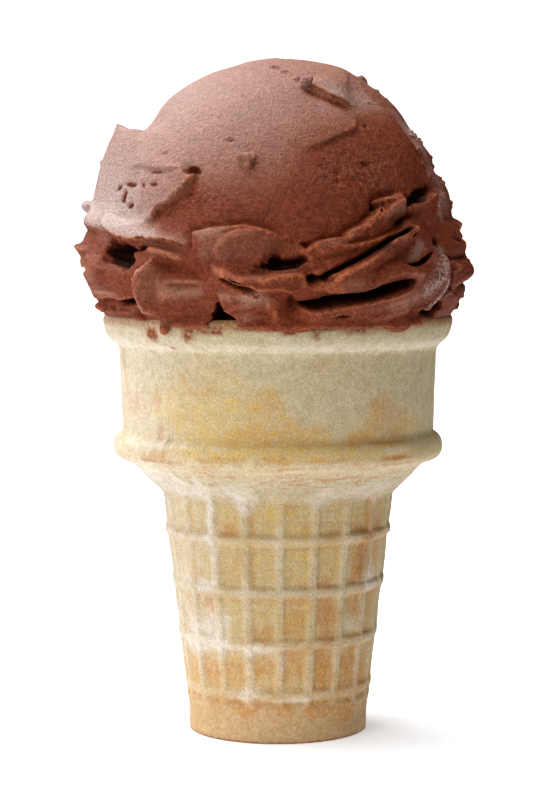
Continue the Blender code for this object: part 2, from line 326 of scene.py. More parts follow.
class Sculptor:
    """Paints relief over a skin along routes of (azimuth, height)."""

    def __init__(self, skin):
        self.skin = skin

    def near(self, route, reach):
        return self.near_line(smooth_line(self.skin.seat(route), 1.1), reach)[:2]

    def near_closed(self, outline, reach):
        line = smooth_line(self.skin.seat((*outline, outline[0])), 1.1)
        cells, measured, azimuth, along = self.near_line(line, reach)
        return cells, measured, azimuth, along, line

    def near_line(self, line, reach):
        skin = self.skin
        rows, columns = skin.window(line, reach)
        azimuth = (-180.0 + skin.column_step * columns)[None, :]
        along = skin.rows[rows][:, None]
        per_degree = np.maximum(0.05, skin.radius_rows[rows][:, None] * DEGREE)
        cells = (rows[:, None], (columns % len(skin.columns))[None, :])
        azimuth = azimuth + skin.waver_side[cells] / per_degree
        along = along + skin.waver_up[cells]
        return cells, measure(line, azimuth, along, per_degree, reach), azimuth, along

    def ledge(self, rise, edge, fade, route, taper=4.0):
        """A step: the right-hand side of travel stands proud and sinks back over the fade."""
        cells, (side, ends, _) = self.near(route, 2.0 * fade + edge)
        wall = smooth_step(0.6 * edge, -0.6 * edge, side)
        back = np.exp(-((np.maximum(0.0, -side) / fade) ** 2))
        lip = LIP * np.exp(-(((side + 0.3) / 0.28) ** 2))
        foot = FOOT * np.exp(-(((side - 0.4) / 0.45) ** 2))
        self.skin.relief[cells] += rise * (wall * back + lip - foot) * smooth_step(0, taper, ends)

    def ridge(self, rise, left_width, right_width, route, taper=3.0):
        """A fold with its crest on the route; a negative rise makes a hollow."""
        cells, (side, ends, _) = self.near(route, 2.6 * max(left_width, right_width))
        width = np.where(side > 0, left_width, right_width)
        power = np.interp(width, (0.5, 1.6), (1.2, 2.0))
        crest = np.exp(-((np.abs(side) / width) ** power))
        self.skin.relief[cells] += rise * crest * smooth_step(0, taper, ends)

    def paint(self, field, amount, width, route, taper=1.5):
        """Adds to one of the painted fields round a route: icy patches with their painted edge highlight, painted
        sheen, painted shade or roughness.
        """
        cells, (side, ends, _) = self.near(route, 2.2 * width)
        layer = getattr(self.skin, field)
        layer[cells] += amount * np.exp(-((side / width) ** 2)) * smooth_step(0, taper, ends)

    def patch(self, field, amount, edge, outline):
        """Adds to a painted field, such as the painted sheen, inside a closed outline."""
        cells, (side, _, _), azimuth, along, line = self.near_closed(outline, edge + 0.5)
        inside = np.zeros(side.shape, bool)
        for (a0, s0), (a1, s1) in zip(line, line[1:]):
            if s0 != s1:
                crossing = (s0 > along) != (s1 > along)
                inside ^= crossing & (azimuth < a0 + (a1 - a0) * (along - s0) / (s1 - s0))
        depth = np.where(inside, np.abs(side), -np.abs(side))
        layer = getattr(self.skin, field)
        layer[cells] += amount * smooth_step(-edge, edge, depth)


# Ledges: name, rise, edge, fade, route. The right-hand side of travel stands proud.
LEDGES = (
    ("slab_edge", 1.1, 0.22, 14, ((-27, 103), (-27.2, 101), (-30, 99.1), (-34, 97), (-36, 96.1),
        (-39.5, 95.3), (-40.5, 93.6), (-47, 92.8))),
    ("slab_top_line", 0.35, 0.25, 5, ((-28, 103), (-32, 102.4), (-37, 101.7), (-45, 101.7),
        (-57, 102.2), (-70, 102))),
    ("left_margin", 1.5, 0.25, 3.5, ((-26.5, 88.2), (-32, 88.7), (-38, 89.2), (-45, 89.3),
        (-52, 89.2), (-58, 89.6), (-64, 90.6), (-70, 91.6), (-78, 92.6))),
    ("upper_flap", 1.9, 0.22, 7, ((-28.5, 87), (-27, 88.4), (-26.4, 90), (-25.2, 91), (-22, 91.4),
        (-19.8, 91.8), (-14, 92.1), (-10, 92.3), (-5, 91.7), (-1.5, 90.9), (1, 90), (3.5, 88.6))),
    ("inner_scallop", 0.9, 0.2, 5, ((-20.6, 86.4), (-20, 87.3), (-19, 88.6), (-17.3, 89.6),
        (-15, 90.5), (-12, 91.2), (-8, 91.2), (-5, 90.9), (-2, 90.2))),
    ("band_top", 1.5, 0.22, 4, ((-21, 86.2), (-19, 85.9), (-16, 85), (-12, 84.2), (-8, 83.8),
        (-4, 83.9), (0, 84.2), (4, 84.3), (7, 84.2), (8.6, 83.4), (10, 82.7), (14, 82.5))),
    ("band_foot", 1.4, 0.25, 2.2, ((9, 81.2), (4, 81.6), (0, 82), (-5, 82.1), (-9, 82.8),
        (-13, 83.5), (-17.5, 84.3), (-20.5, 85))),
    ("tongue_edge", 2.6, 0.3, 10, ((-41, 75.6), (-42.5, 76.8), (-44.7, 78.3), (-45.8, 80),
        (-45.9, 82), (-45, 83.8), (-43.5, 85.3), (-41, 87.1))),
    ("lower_tongue", 0.9, 0.2, 3.5, ((-17.5, 83.2), (-13.5, 82.8), (-10, 82.1), (-6.5, 81.4),
        (-2, 81))),
    ("middle_tongue_left", 2.3, 0.25, 6, ((-12, 75.2), (-13.6, 76.6), (-15.2, 77.8), (-17, 79),
        (-18.3, 80.4), (-19.3, 81.9))),
    ("upper_sheet", 2.5, 0.22, 7, ((4.5, 88.1), (8.6, 88.4), (10, 89.1), (16, 89.8), (20, 90.1),
        (22, 91), (24, 91.6), (27.3, 92.2), (28, 93), (31, 94), (30.8, 94.7), (31.6, 95.3),
        (30.7, 96), (33.5, 96.6), (39, 97.3), (45, 98.1))),
    ("lower_sheet", 2.3, 0.22, 6, ((4.5, 78.6), (10, 78.9), (18, 79.8), (22, 80.3), (30, 81),
        (38, 81.8), (42, 82.5), (48, 83.2))),
    ("side_flap", 1.7, 0.25, 5, ((48, 95), (50.5, 95.7), (54, 96.8), (58.5, 97.9), (61.5, 97.6),
        (63, 96))),
    ("left_lobe_foot", 1.3, 0.3, 5, ((-47.5, 80), (-57, 79.8), (-66, 79.8), (-74, 79.6), (-82, 79.2))),
    ("top_slab", 1.2, 0.2, 9, ((38, 112.2), (32, 112.9), (25, 114), (19, 115.4), (14, 116.2),
        (11, 116.4))),
    ("boundary_low", 0.6, 0.22, 6, ((36, 111.6), (33.8, 110.6), (31.5, 108.8), (28, 108.1),
        (20, 106.9), (15, 106), (10.5, 105.3), (8, 104.3))),
    ("boundary_right", 0.35, 0.22, 6, ((8.5, 104.3), (10, 102.8), (13, 101.8), (17, 100.4),
        (20, 99.1), (25, 98.3), (31, 97.4))),
    ("right_facet", 0.9, 0.22, 5, ((60, 113.4), (58, 111.5), (56.8, 109.8), (57, 108.2),
        (58.5, 106.5), (60.5, 105), (63.5, 104))),
)

# Ridges: name, rise, width on the left of travel, width on the right, route, and a taper where it
# isn't the usual one
RIDGES = (
    ("second_flap", 1.3, 0.4, 1.2, ((-46, 88.7), (-42, 87.9), (-36, 87.4), (-31, 86.8),
        (-28.6, 86.1))),
    ("cross_band", 0.9, 0.35, 1.0, ((-21, 86.1), (-16, 84.9), (-12, 84.0), (-8, 83.6), (-4, 83.6),
        (2, 83.9), (7, 83.9))),
    ("band_roll", 0.7, 0.5, 0.5, ((-20, 85.1), (-16, 84.1), (-12, 83.3), (-8, 82.8))),
    ("long_band", 2.6, 1.5, 0.9, ((9, 82.6), (14, 82.4), (20, 82.3), (25, 82.5), (30, 83.3),
        (35, 84.2), (40, 84.4), (47, 84.2), (51, 83.6))),
    ("tongue_roll", 1.15, 1.1, 1.2, ((-38.8, 87), (-41, 85.3), (-42.6, 83.7), (-43.4, 82),
        (-43.3, 80), (-42.2, 78.3), (-40, 76.6))),
    ("tongue_trough", -1.2, 0.9, 1.1, ((-37, 85), (-38.9, 83), (-39.4, 81), (-38.6, 79.2))),
    ("tongue_thread", 0.55, 0.22, 0.25, ((-37.5, 82.6), (-30, 82.7), (-21, 82.6))),
    ("tongue_crease", -0.7, 0.25, 0.3, ((-37.5, 82.1), (-30, 82.2), (-21, 82.1))),
    ("tongue_line", 0.35, 0.25, 0.4, ((-40, 81.5), (-30, 81.6), (-24, 81.4))),
    ("tongue_fold", 0.45, 0.3, 0.6, ((-37, 80), (-31, 79.5), (-26, 79.6), (-21, 79.8))),
    ("tongue_low_fold", 0.4, 0.25, 0.5, ((-41, 78.2), (-34, 77.8), (-27, 78))),
    ("tongue_high_fold", 0.3, 0.25, 0.4, ((-40, 84.3), (-33, 83.9), (-27, 83.5))),
    ("shade_band", -1.4, 1.2, 1.2, ((-41, 85.4), (-36, 85.2), (-31, 84.8), (-26, 84.2), (-21, 83.6))),
    ("middle_tongue", 0.8, 0.9, 0.7, ((-18, 80.4), (-12, 80), (-7, 79.8), (-4, 79.7))),
    ("middle_hollow", -0.8, 0.5, 0.4, ((-16, 81.8), (-11, 81.4), (-6, 81))),
    ("middle_crease", -0.5, 0.4, 0.4, ((-16, 79), (-10, 78.8), (-5, 78.6))),
    ("middle_swell", 0.6, 0.7, 0.9, ((-13.5, 77.2), (-9, 77), (-6, 76.8))),
    ("central_blob", 2.0, 1.3, 1.2, ((-1.6, 81), (-1.2, 79), (-0.8, 77), (-0.3, 74.8))),
    ("central_crease", -2.6, 0.8, 0.8, ((2.8, 81.6), (3.5, 80), (4.2, 78), (4.6, 76.6))),
    ("sheet_rib", 1.3, 0.3, 1.0, ((32.6, 92.4), (34.5, 93.8), (37, 95), (42, 95.9), (47, 96.6))),
    ("sheet_trough", -1.0, 0.6, 0.5, ((31.4, 92.6), (33, 94.1), (35, 95.3), (39, 96.3))),
    ("sheet_hollow", -1.7, 0.8, 0.8, ((36, 91.8), (42, 92.8), (48, 93.8), (54, 94.6))),
    ("sheet_line", -1.0, 0.4, 0.4, ((18, 88.5), (27, 89.4), (33, 90.3), (39, 91.5), (44, 92.4))),
    ("sheet_crest", 0.8, 0.3, 0.6, ((12, 87.9), (20, 87.9), (27, 88.6), (32, 89.6), (38, 90.9))),
    ("sheet_line_low", -0.8, 0.35, 0.4, ((8, 86.8), (14, 86.5), (20, 87), (27, 88))),
    ("second_line", -0.7, 0.3, 0.4, ((22, 83.9), (28, 84.8), (34, 86), (40, 87.4))),
    ("low_line", -0.6, 0.3, 0.4, ((30, 78.6), (38, 79.3), (45, 80.6))),
    ("low_roll", 0.6, 0.5, 0.8, ((26, 77.2), (34, 77.6), (42, 78.4), (50, 79.4))),
    ("second_sheet", 2.5, 0.3, 1.9, ((12, 82.9), (17, 84), (22, 84.9), (27, 86), (33, 87.7),
        (37, 89.3), (41, 90.4), (46, 91.5), (51, 92.4))),
    ("frosty_facet", 1.0, 0.5, 1.8, ((41, 86.2), (44.5, 88), (48, 89.5))),
    ("right_lobe", 0.6, 1.4, 1.5, ((60, 90.6), (66, 90.3), (73, 89.9), (82, 89.3), (120, 88.6)), 9.0),
    ("right_groove", -1.4, 0.7, 0.7, ((60, 87.2), (68, 86.8), (80, 86.7), (94, 86.8))),
    ("frosty_band", 1.4, 1.3, 1.3, ((61, 88.2), (60, 86), (58.5, 84), (56, 82.2))),
    ("low_right_lobe", 0.4, 1.6, 1.8, ((70, 84.6), (80, 84.4), (120, 84.2)), 9.0),
    ("pale_edge", 0.9, 0.3, 0.5, ((62.5, 84.5), (62, 81.5), (59.5, 79.6), (57, 78.2), (54.5, 77),
        (51.5, 75))),
    ("left_lobe", 1.0, 2.4, 2.2, ((-125, 86), (-100, 85.8), (-80, 85.2), (-68, 84.6), (-58, 84))),
    ("nub", 1.6, 0.5, 0.8, ((-108, 87.4), (-92, 87.6), (-80, 87.2))),
    ("lobe_fold", 0.6, 0.3, 0.6, ((-77, 88.6), (-72, 87.2), (-68, 85.6), (-64.5, 84.2))),
    ("lobe_fold_inner", 0.5, 0.3, 0.5, ((-67, 89), (-65.5, 87), (-63, 85.2), (-60, 84.4))),
    ("slab_crease", -0.4, 0.7, 0.6, ((-74, 95.8), (-68, 94.6), (-62, 93.8), (-52, 93.3), (-44, 93))),
    ("top_right", 0.45, 4.0, 4.0, ((50, 119), (90, 120), (130, 119.5))),
    ("top_left", -0.3, 2.5, 4.0, ((-130, 121), (-90, 121), (-50, 121))),
    ("scratch_low", 0.35, 0.25, 0.25, ((-9, 95.9), (-5, 93.8), (-2.5, 92.8))),
    ("scratch_top", 0.35, 0.22, 0.22, ((2, 115.2), (5.5, 115.6), (9, 116))),
    ("ridgelet", 0.35, 0.25, 0.25, ((35, 108.3), (38, 108.6), (41, 109.3))),
    ("left_flat", -1.0, 4.0, 3.0, ((-125, 110.7), (-50, 110.7)), 6.0),
    ("left_band", 0.8, 1.8, 1.8, ((-120, 92.6), (-90, 92.6), (-70, 92.2)), 6.0),
    ("right_flat", -1.0, 4.0, 5.0, ((48, 109.5), (130, 109.5)), 9.0),
    ("right_hollow", -1.3, 2.0, 2.6, ((66, 102.4), (90, 102.2), (125, 102)), 9.0),
    ("right_slope", -0.6, 3.0, 3.0, ((62, 94.5), (90, 94.5), (125, 94.5)), 9.0),
    ("side_fold", 0.4, 0.8, 1.4, ((112, 82.2), (100, 83.6), (88, 83.7), (76, 82.7), (67, 81.4))),
    ("side_fold_low", 0.35, 0.7, 1.2, ((112, 79.4), (96, 80.3), (82, 79.6), (71, 78.8))),
    ("side_fold_high", 0.4, 0.8, 1.4, ((110, 91), (96, 92.3), (82, 91.6), (70, 92.4), (63, 91.6))),
    ("side_crease", -0.5, 0.5, 0.5, ((66, 93.6), (78, 93.1), (90, 93.9), (106, 93))),
    ("side_crease_low", -0.55, 0.5, 0.5, ((69, 80.3), (84, 81.3), (102, 81.6), (112, 80.8))),
    ("left_fold", 0.35, 0.8, 1.2, ((-72, 82.3), (-84, 81.7), (-98, 82.6), (-114, 83.4))),
    ("left_crease", -0.5, 0.5, 0.5, ((-78, 90.2), (-90, 90.9), (-104, 91.3), (-120, 90.8))),
    ("left_crease_mid", -0.45, 0.5, 0.5, ((-84, 85.9), (-96, 86.4), (-110, 86), (-122, 86.6))),
    ("left_fold_high", 0.25, 0.9, 1.4, ((-80, 91.6), (-94, 92.4), (-108, 92.2), (-124, 91.4))),
    ("front_lap", 1.3, 1.2, 3.0, ((-46, 75.6), (-20, 75.4), (0, 75.4), (20, 75.4), (58, 75.8))),
)

# Painted strokes, by field: name, amount, width, route, and a taper where it isn't the usual one. They paint a pale
# sheen with some pale dry skin, icy patches with a highlight along the right-hand edges, near-black shade in grooves
# and holes, and torn rough places.
FINISHES = {
    # Painted sheen on lips, tongues and flaps, and pale dry skin on the right-hand side; a negative stroke takes the
    # sheen off the top slab's face.
    "sheen_and_pale_skin": (
        ("left_margin", 0.65, 1.25, ((-88, 93.3), (-74, 93), (-66, 92), (-58, 91.1), (-50, 90.8),
            (-42, 90.4), (-34, 89.9), (-28, 89.1))),
        ("left_slab", 0.14, 5.0, ((-90, 101), (-66, 99), (-48, 98))),
        ("left_cheek", 0.4, 1.8, ((-88, 95), (-70, 94.6), (-56, 92.9), (-44, 91.9), (-36, 91.3))),
        ("mid_tongue", 0.8, 1.2, ((-12, 79.6), (-8, 79.8), (-3.5, 79.8))),
        ("left_lobe", 0.5, 2.4, ((-96, 85.4), (-84, 85), (-74, 84), (-62, 82.8)), 5.0),
        ("tongue_lip", 0.75, 0.55, ((-41, 86.8), (-43, 85.4), (-44.8, 83.8), (-45.6, 82),
            (-45.4, 80), (-44.2, 78.1), (-42, 76.6))),
        ("tongue_root", 0.5, 0.8, ((-42.5, 86.2), (-44, 84.8), (-44.8, 83.6))),
        ("tongue_thread", 0.35, 0.25, ((-37.5, 82.7), (-30, 82.8), (-21, 82.7))),
        ("tongue_line", 0.35, 1.1, ((-39, 81.1), (-30, 81.1), (-23, 80.8))),
        ("drip", 0.5, 0.7, ((-41, 76.6), (-39.5, 75.3), (-38.5, 74.4))),
        ("second_flap", 0.35, 0.5, ((-44, 88.2), (-40, 87.7), (-34, 87.2), (-29, 86.4))),
        ("flap_left", 0.5, 1.1, ((-25.6, 90.2), (-22.5, 90.8), (-18.5, 91.1), (-14.5, 91.6))),
        ("flap_low", 0.35, 1.0, ((-25, 88.6), (-22, 87.6), (-21.3, 86.6))),
        ("flap_lip", 0.5, 0.25, ((-26.4, 90), (-25.2, 90.8), (-20, 91.6), (-12, 92))),
        ("scallop_lip", 0.4, 0.25, ((-20, 87.2), (-19, 88.4), (-17, 89.5), (-14.6, 90.4), (-12, 91),
            (-6, 91))),
        ("band_lip", 0.3, 0.3, ((-20, 85.8), (-12, 83.9), (-6, 83.6), (0, 84), (6, 84))),
        ("middle_tongue", 0.6, 0.75, ((-18.6, 81.6), (-17, 80.4), (-12, 80.3), (-7, 80.5), (-3, 81))),
        ("middle_low", 0.35, 0.9, ((-13, 76.9), (-9, 76.6), (-6, 77))),
        ("blob_side", 0.5, 0.5, ((-3.3, 80.8), (-3.4, 79), (-3.6, 77.5))),
        ("rib_face", 0.4, 0.8, ((36.5, 94.4), (42, 95.1), (47, 95.7))),
        ("rib_lip", 0.4, 0.35, ((32.8, 92.6), (34.6, 93.8), (37, 94.9), (41, 95.7))),
        ("sheet_lip", 0.3, 0.3, ((10, 88.9), (16, 89.6), (20.5, 90), (24, 91.3), (29, 92.9))),
        ("band_right", 0.35, 0.6, ((16.5, 82.6), (21, 82.6), (25.5, 82.8))),
        ("low_sheet", 0.5, 1.2, ((34, 77.8), (41, 78.6), (47, 79.4), (52, 80.4))),
        ("lobe_foot", 0.8, 0.45, ((-88, 80.8), (-78, 80.6), (-66, 80.4), (-56, 80.2), (-51, 80.3)),
            5.0),
        ("low_left", 0.6, 0.8, ((-62, 78.2), (-61, 76.6))),
        ("top_slab", -0.55, 0.8, ((13, 115.7), (18, 114.9), (24, 113.9), (30, 112.7), (34, 112.1))),
        ("top_right", 0.25, 4.0, ((18, 115), (36, 114), (56, 114))),
        ("facet_side", 0.3, 3.2, ((64, 109), (80, 108.5), (100, 107.5), (130, 107)), 7.0),
    ),
    # Icy white patches on the torn right-hand folds; these also paint the highlight along the right-hand edges.
    "frost": (
        ("rough_band", 0.7, 1.6, ((62, 89), (60.5, 87), (59, 85), (57.5, 83.2), (55, 81.5),
            (51, 80.3))),
        ("right_line", 1.0, 0.35, ((62.5, 84.5), (62, 81.5), (59.5, 79.6), (57, 78.2), (54.5, 77))),
        ("side_flap", 0.7, 1.1, ((62.5, 98.5), (65, 97), (66.5, 95), (66, 92.5))),
        # A painted highlight along the right-hand edge of the dome.
        ("right_edge", 0.35, 2.8, ((64, 104), (68, 101), (70, 98), (74, 94))),
        ("facet_side", 0.3, 2.6, ((63, 109), (78, 108.2), (94, 107)), 6.0),
    ),
    # Painted shade: near-black along grooves, holes and crevices.
    "dark": (
        ("lower_groove", 1.0, 0.75, ((4, 79), (9, 79.3), (14, 79.8), (20, 80.4), (25, 80.9),
            (31, 81.5), (36, 82.1))),
        ("lower_groove_end", 0.8, 0.5, ((34, 81.9), (38, 82.4), (41, 82.7), (46, 83.3))),
        ("upper_groove", 0.8, 0.35, ((12, 84.1), (18, 85.1), (24, 86.6), (30, 88.1), (36, 89.5))),
        ("cavity", 0.45, 0.9, ((-57.5, 88), (-54, 87.8), (-51.5, 87))),
        ("low_hole", 0.3, 0.8, ((-18.8, 78), (-18, 77), (-16.5, 76.4))),
        ("side_hole", 1.0, 0.9, ((50.5, 96.4), (52.5, 97.2), (55, 98.1))),
        ("middle_hole", 0.8, 0.6, ((-1, 86.2), (3.5, 86.1), (6.3, 86.5))),
        ("right_crevice", 0.7, 0.6, ((65.5, 86), (65.5, 83.5), (65.5, 81), (64, 79))),
    ),
    "rough": (
        ("dark_patch", 0.7, 3.4, ((12, 104), (24, 102), (36, 101), (44, 102))),
        ("shelf", 1.0, 0.8, ((-9, 84.8), (-2.5, 85.0), (8, 85.3))),
        ("cavity", 1.0, 2.0, ((-59, 86), (-52, 86), (-47, 86.6))),
        ("slab_foot", 0.6, 2.6, ((-37, 93.5), (-28, 96), (-16, 97))),
        ("rough_band", 1.0, 1.8, ((62, 89), (60.5, 87), (59, 85), (57.5, 83.2), (55, 81.5))),
        ("top", 0.5, 5.0, ((14, 119), (30, 117), (50, 116), (80, 115))),
        ("right_edge", 1.0, 3.0, ((61, 106), (66, 103), (70, 99), (72, 95), (72, 91))),
        ("right_low", 0.8, 2.5, ((72, 88), (76, 84), (78, 79))),
        ("crack", 0.9, 0.8, ((12, 77.2), (18, 77.5), (26, 77.8))),
    ),
}

# Painted patches: field, name, amount, edge, closed outline. Those that add to the sheen field paint sheen, and pale
# dry skin on the right-hand facet.
PATCHES = (
    ("sheen_and_pale_skin", "upper_flap", 0.15, 1.0, ((-24, 90), (-14, 91.3), (-4, 90.6), (1, 89), (-2, 87.4),
        (-10, 86.6), (-18, 86.5), (-23, 88))),
    ("sheen_and_pale_skin", "frosty_facet", 0.45, 0.6, ((41, 86.2), (44, 88), (47.5, 89.7), (51, 89.8),
        (53.5, 88.8), (50, 87.2), (46, 86.3))),
    ("frost", "frosty_facet", 0.35, 0.6, ((44, 87), (47.5, 89.3), (51, 89.5), (52, 88.4), (48, 87))),
    ("sheen_and_pale_skin", "tongue_flat", 0.24, 0.8, ((-43.3, 84.8), (-44, 83), (-44, 81), (-43, 79.6),
        (-39, 79.3), (-33, 79.8), (-28, 80.5), (-24, 81.2), (-22.5, 82), (-30, 82.3), (-36, 82.5),
        (-38, 84), (-40.5, 85.2))),
    ("sheen_and_pale_skin", "right_facet", 0.28, 0.5, ((61, 113), (58.6, 111.4), (57.6, 109.8), (57.8, 108.2),
        (59.5, 106.6), (62, 105.2), (66, 104.2), (71, 104.6), (75, 106.8), (77, 109), (74, 111.5),
        (69, 112.6))),
    ("frost", "right_facet", 0.2, 0.8, ((61, 113), (58.6, 111.4), (57.6, 109.8), (57.8, 108.2),
        (59.5, 106.6), (62, 105.2), (66, 104.2), (71, 104.6), (75, 106.8), (77, 109), (74, 111.5),
        (69, 112.6))),
)


# Gaps: name, depth, half width at the start, middle and end, lean upwards, route
CUTS = (
    ("upper_groove", 6.0, (0.3, 0.45, 0.35), -0.1, ((9.5, 83.6), (13, 84.1), (17.5, 84.9),
        (23.7, 86.4), (29, 87.8), (33.2, 88.8), (38, 89.9), (43, 91), (48, 92.1))),
    ("slit", 2.5, (0.15, 0.3, 0.2), 0.0, ((41.5, 89), (46, 90.3), (50.5, 91.3))),
    ("lower_groove", 7.0, (0.7, 0.8, 0.4), -0.1, ((4.6, 79), (9, 79.3), (14, 79.8), (20, 80.4),
        (25, 80.9), (31, 81.5), (36, 82.1), (41, 82.7), (47, 83.5))),
    ("crack", 2.0, (0.2, 0.35, 0.2), 0.0, ((15, 77.5), (19, 77.5), (25, 77.9))),
    ("third_groove", 3.5, (0.3, 0.55, 0.4), -0.1, ((39, 85.2), (44, 85.5), (49, 86), (54, 87),
        (58, 88.6))),
    ("band_shadow", 2.5, (0.2, 0.4, 0.2), 0.1, ((-19.5, 83.5), (-16, 83.6), (-13, 83.1), (-9, 82.3),
        (-5, 81.8))),
    ("sheet_shadow", 2.2, (0.2, 0.4, 0.3), 0.1, ((37, 91.9), (42, 92.7), (47, 93.4), (52, 94.2))),
    ("side_groove", 3.0, (0.2, 0.5, 0.25), -0.1, ((68, 90.6), (77, 89.7), (87, 89.4), (98, 90.2))),
    ("side_groove_low", 2.5, (0.2, 0.45, 0.25), -0.1, ((78, 81.3), (90, 81.9), (103, 82))),
    ("left_groove", 2.5, (0.2, 0.45, 0.25), -0.1, ((-76, 84.4), (-88, 84.1), (-100, 84.9))),
    ("left_groove_high", 2.5, (0.2, 0.5, 0.25), -0.1, ((-88, 89.7), (-100, 90.2), (-114, 89.6))),
    ("right_crevice", 3.5, (0.4, 0.7, 0.5), 0.0, ((65.5, 86), (65.5, 83.5), (65.5, 81), (64, 79))),
    ("left_crevice", 3.5, (0.3, 0.55, 0.4), 0.0, ((-61, 78.9), (-56, 78.7), (-51, 79), (-46.8, 79.5))),
)

# Ledges with a gap behind their edge: name, depth, half width
UNDERCUTS = (
    ("upper_flap", 1.0, 0.2), ("upper_sheet", 1.5, 0.25), ("lower_tongue", 0.7, 0.18),
    ("top_slab", 0.7, 0.16), ("middle_tongue_left", 1.2, 0.3), ("inner_scallop", 0.5, 0.15),
    ("side_flap", 1.0, 0.25), ("tongue_edge", 1.2, 0.3), ("left_margin", 1.0, 0.25),
    ("band_top", 0.6, 0.15),
)

# Pits: azimuth, height, half width, half height, depth
PITS = (
    (-18.6, 77.4, 1.3, 1.9, 6.0), (-17.4, 76.0, 2.8, 0.95, 6.0), (-19.2, 78.6, 0.7, 0.9, 5.0),
    (-16.4, 76.8, 1.2, 1.0, 5.0), (-0.6, 86.3, 1.7, 1.1, 4.5), (3.5, 86.2, 2.3, 0.75, 4.0),
    (6.3, 86.6, 1.2, 0.75, 3.0), (1.0, 85.4, 3.2, 0.5, 3.0), (-4.7, 85.7, 0.45, 0.6, 2.0),
    (-6.6, 85.3, 0.35, 0.25, 1.0), (9.7, 83.4, 1.0, 0.85, 3.0), (12.3, 83.6, 1.6, 0.4, 2.5),
    (52.6, 97.1, 1.8, 1.4, 6.0), (50.2, 96.3, 1.1, 0.9, 5.0), (55.0, 98.1, 1.6, 0.8, 4.0),
    (57.6, 98.8, 0.8, 0.4, 3.0), (64, 78, 2.4, 1.1, 4.0), (61, 76.7, 2.2, 0.8, 3.5),
    (55, 77.2, 1.2, 0.5, 2.0), (59.5, 89.5, 0.9, 1.1, 3.0), (67, 86.6, 1.8, 0.8, 2.5),
    (-54.5, 87.9, 4.4, 1.4, 6.0), (-51.5, 86.2, 3.2, 1.5, 3.5), (-57, 86.4, 2.4, 1.1, 2.5),
    (-62.6, 89.3, 1.0, 0.5, 2.5), (-47.3, 88.3, 1.3, 0.6, 3.0), (19.7, 101.2, 0.5, 0.45, 0.9),
    (18.8, 99.7, 0.5, 0.3, 0.8), (-17.2, 106.7, 0.6, 0.3, 0.7), (30.5, 102.8, 1.0, 0.4, 0.7),
    (36.5, 109.3, 0.5, 0.4, 0.6), (8.3, 89.3, 0.8, 0.45, 1.2), (4.2, 89.6, 0.5, 0.25, 0.8),
    (31, 95.3, 0.8, 0.6, 2.0), (-29, 101.6, 1.5, 0.8, 1.5), (-57.5, 99.3, 2.0, 0.4, 0.7),
    (-59.3, 97.2, 0.5, 1.0, 0.9), (-53.8, 95.6, 0.7, 0.5, 0.8), (-47.5, 98.7, 0.8, 0.5, 0.6),
    (-42.5, 99, 0.8, 0.35, 0.6), (-65, 98.6, 0.6, 0.5, 0.6), (-42, 101.2, 1.8, 0.25, 0.5),
    (-29, 97.5, 0.8, 0.4, 0.9), (-43.5, 104.6, 0.9, 0.3, 0.4),
)

# Lumps: azimuth, height, half width, half height, half depth, how far its middle stands out
LUMPS = (
    (-9.4, 103.5, 1.2, 0.9, 0.9, 0.8), (-12.2, 103.6, 1.1, 0.6, 0.8, 0.6),
    (-9.6, 102.2, 0.7, 1.0, 0.8, 0.6), (-4, 119.9, 1.0, 0.35, 0.5, 0.1),
    (4, 119, 0.7, 0.4, 0.5, 0.1), (11, 117.6, 0.8, 0.6, 0.6, 0.1), (8, 118.4, 0.4, 0.3, 0.3, 0.1),
    (14.8, 116.2, 1.1, 0.9, 1.0, 0.9), (-74, 77.5, 1.5, 0.9, 1.2, 0.2),
    (-66, 77.3, 1.6, 0.8, 1.2, 0.2), (-58, 76.9, 1.8, 0.8, 1.3, 0.3),
    (-51, 76.5, 1.8, 0.7, 1.3, 0.4), (-83, 77.7, 1.3, 1.0, 1.0, 0.1),
    (-90, 76.9, 1.2, 0.8, 0.9, 0.0), (-89, 95.0, 2.6, 0.9, 1.3, 0.5),
    (-39, 74.4, 1.4, 1.0, 1.0, 0.1), (-86, 108.6, 1.6, 0.9, 1.3, 0.1),
    (-77, 108.5, 0.9, 0.5, 0.7, 0.1), (88, 118.0, 2.8, 0.9, 0.8, 0.0),
    (64, 105.4, 1.2, 0.8, 0.9, 0.1),
)


def flow_height(azimuth, height):
    """Height, at the front, of the line that ice cream was dragged along through a place."""
    climb = (np.clip(azimuth, 0.0, 75.0) / 45.0) ** 1.3
    right = (height + 48.67 * climb) / (1.0 + 0.667 * climb)
    left = height - 5.0 * np.clip(-azimuth, 0.0, 70.0) / 45.0 * smooth_step(80.5, 83.5, height)
    return np.where(azimuth > 0, right, left)


def fold_share(azimuth, height):
    """1 in the torn skirt of folds, 0 on the smooth dome."""
    return smooth_step(1.0, -0.5, height - fold_top(azimuth))


def add_texture(skin, azimuth, height):
    """Drag marks along the folds, and the faint scrapes and grain of the dome."""
    x, y, z = skin.place()
    first, second = Grain(SEED + 2), Grain(SEED + 3)
    folds = fold_share(azimuth, height)
    around = azimuth * DEGREE * 34.0
    flow = flow_height(azimuth, height)
    drag = 0.14 * first.at(around / 12.0, flow / 1.3, 0.0 * flow) + 0.10 * first.at(around / 6.0, flow / 0.5, 5.0 + 0.0 * flow)
    uneven = 0.10 * second.at(x / 3.0, y / 3.0, z / 2.2) + 0.03 * second.at(x / 1.1, y / 1.1, z / 0.9)
    scrape = 0.10 * first.at(around / 16.0, height / 3.2, 9.0 + 0.0 * flow) + 0.03 * first.at(around / 7.0, height / 0.8, 3.0 + 0.0 * flow)
    grain = 0.025 * second.at(x / 0.8, y / 0.8, z / 0.8)
    pocks = 0.10 * second.at(x / 0.75, y / 0.75, z / 0.6) + 0.12 * second.at(x / 1.6, y / 1.6, z / 1.1)
    skin.relief += folds * (drag + uneven) + (1 - folds) * (scrape + grain) + skin.rough * pocks


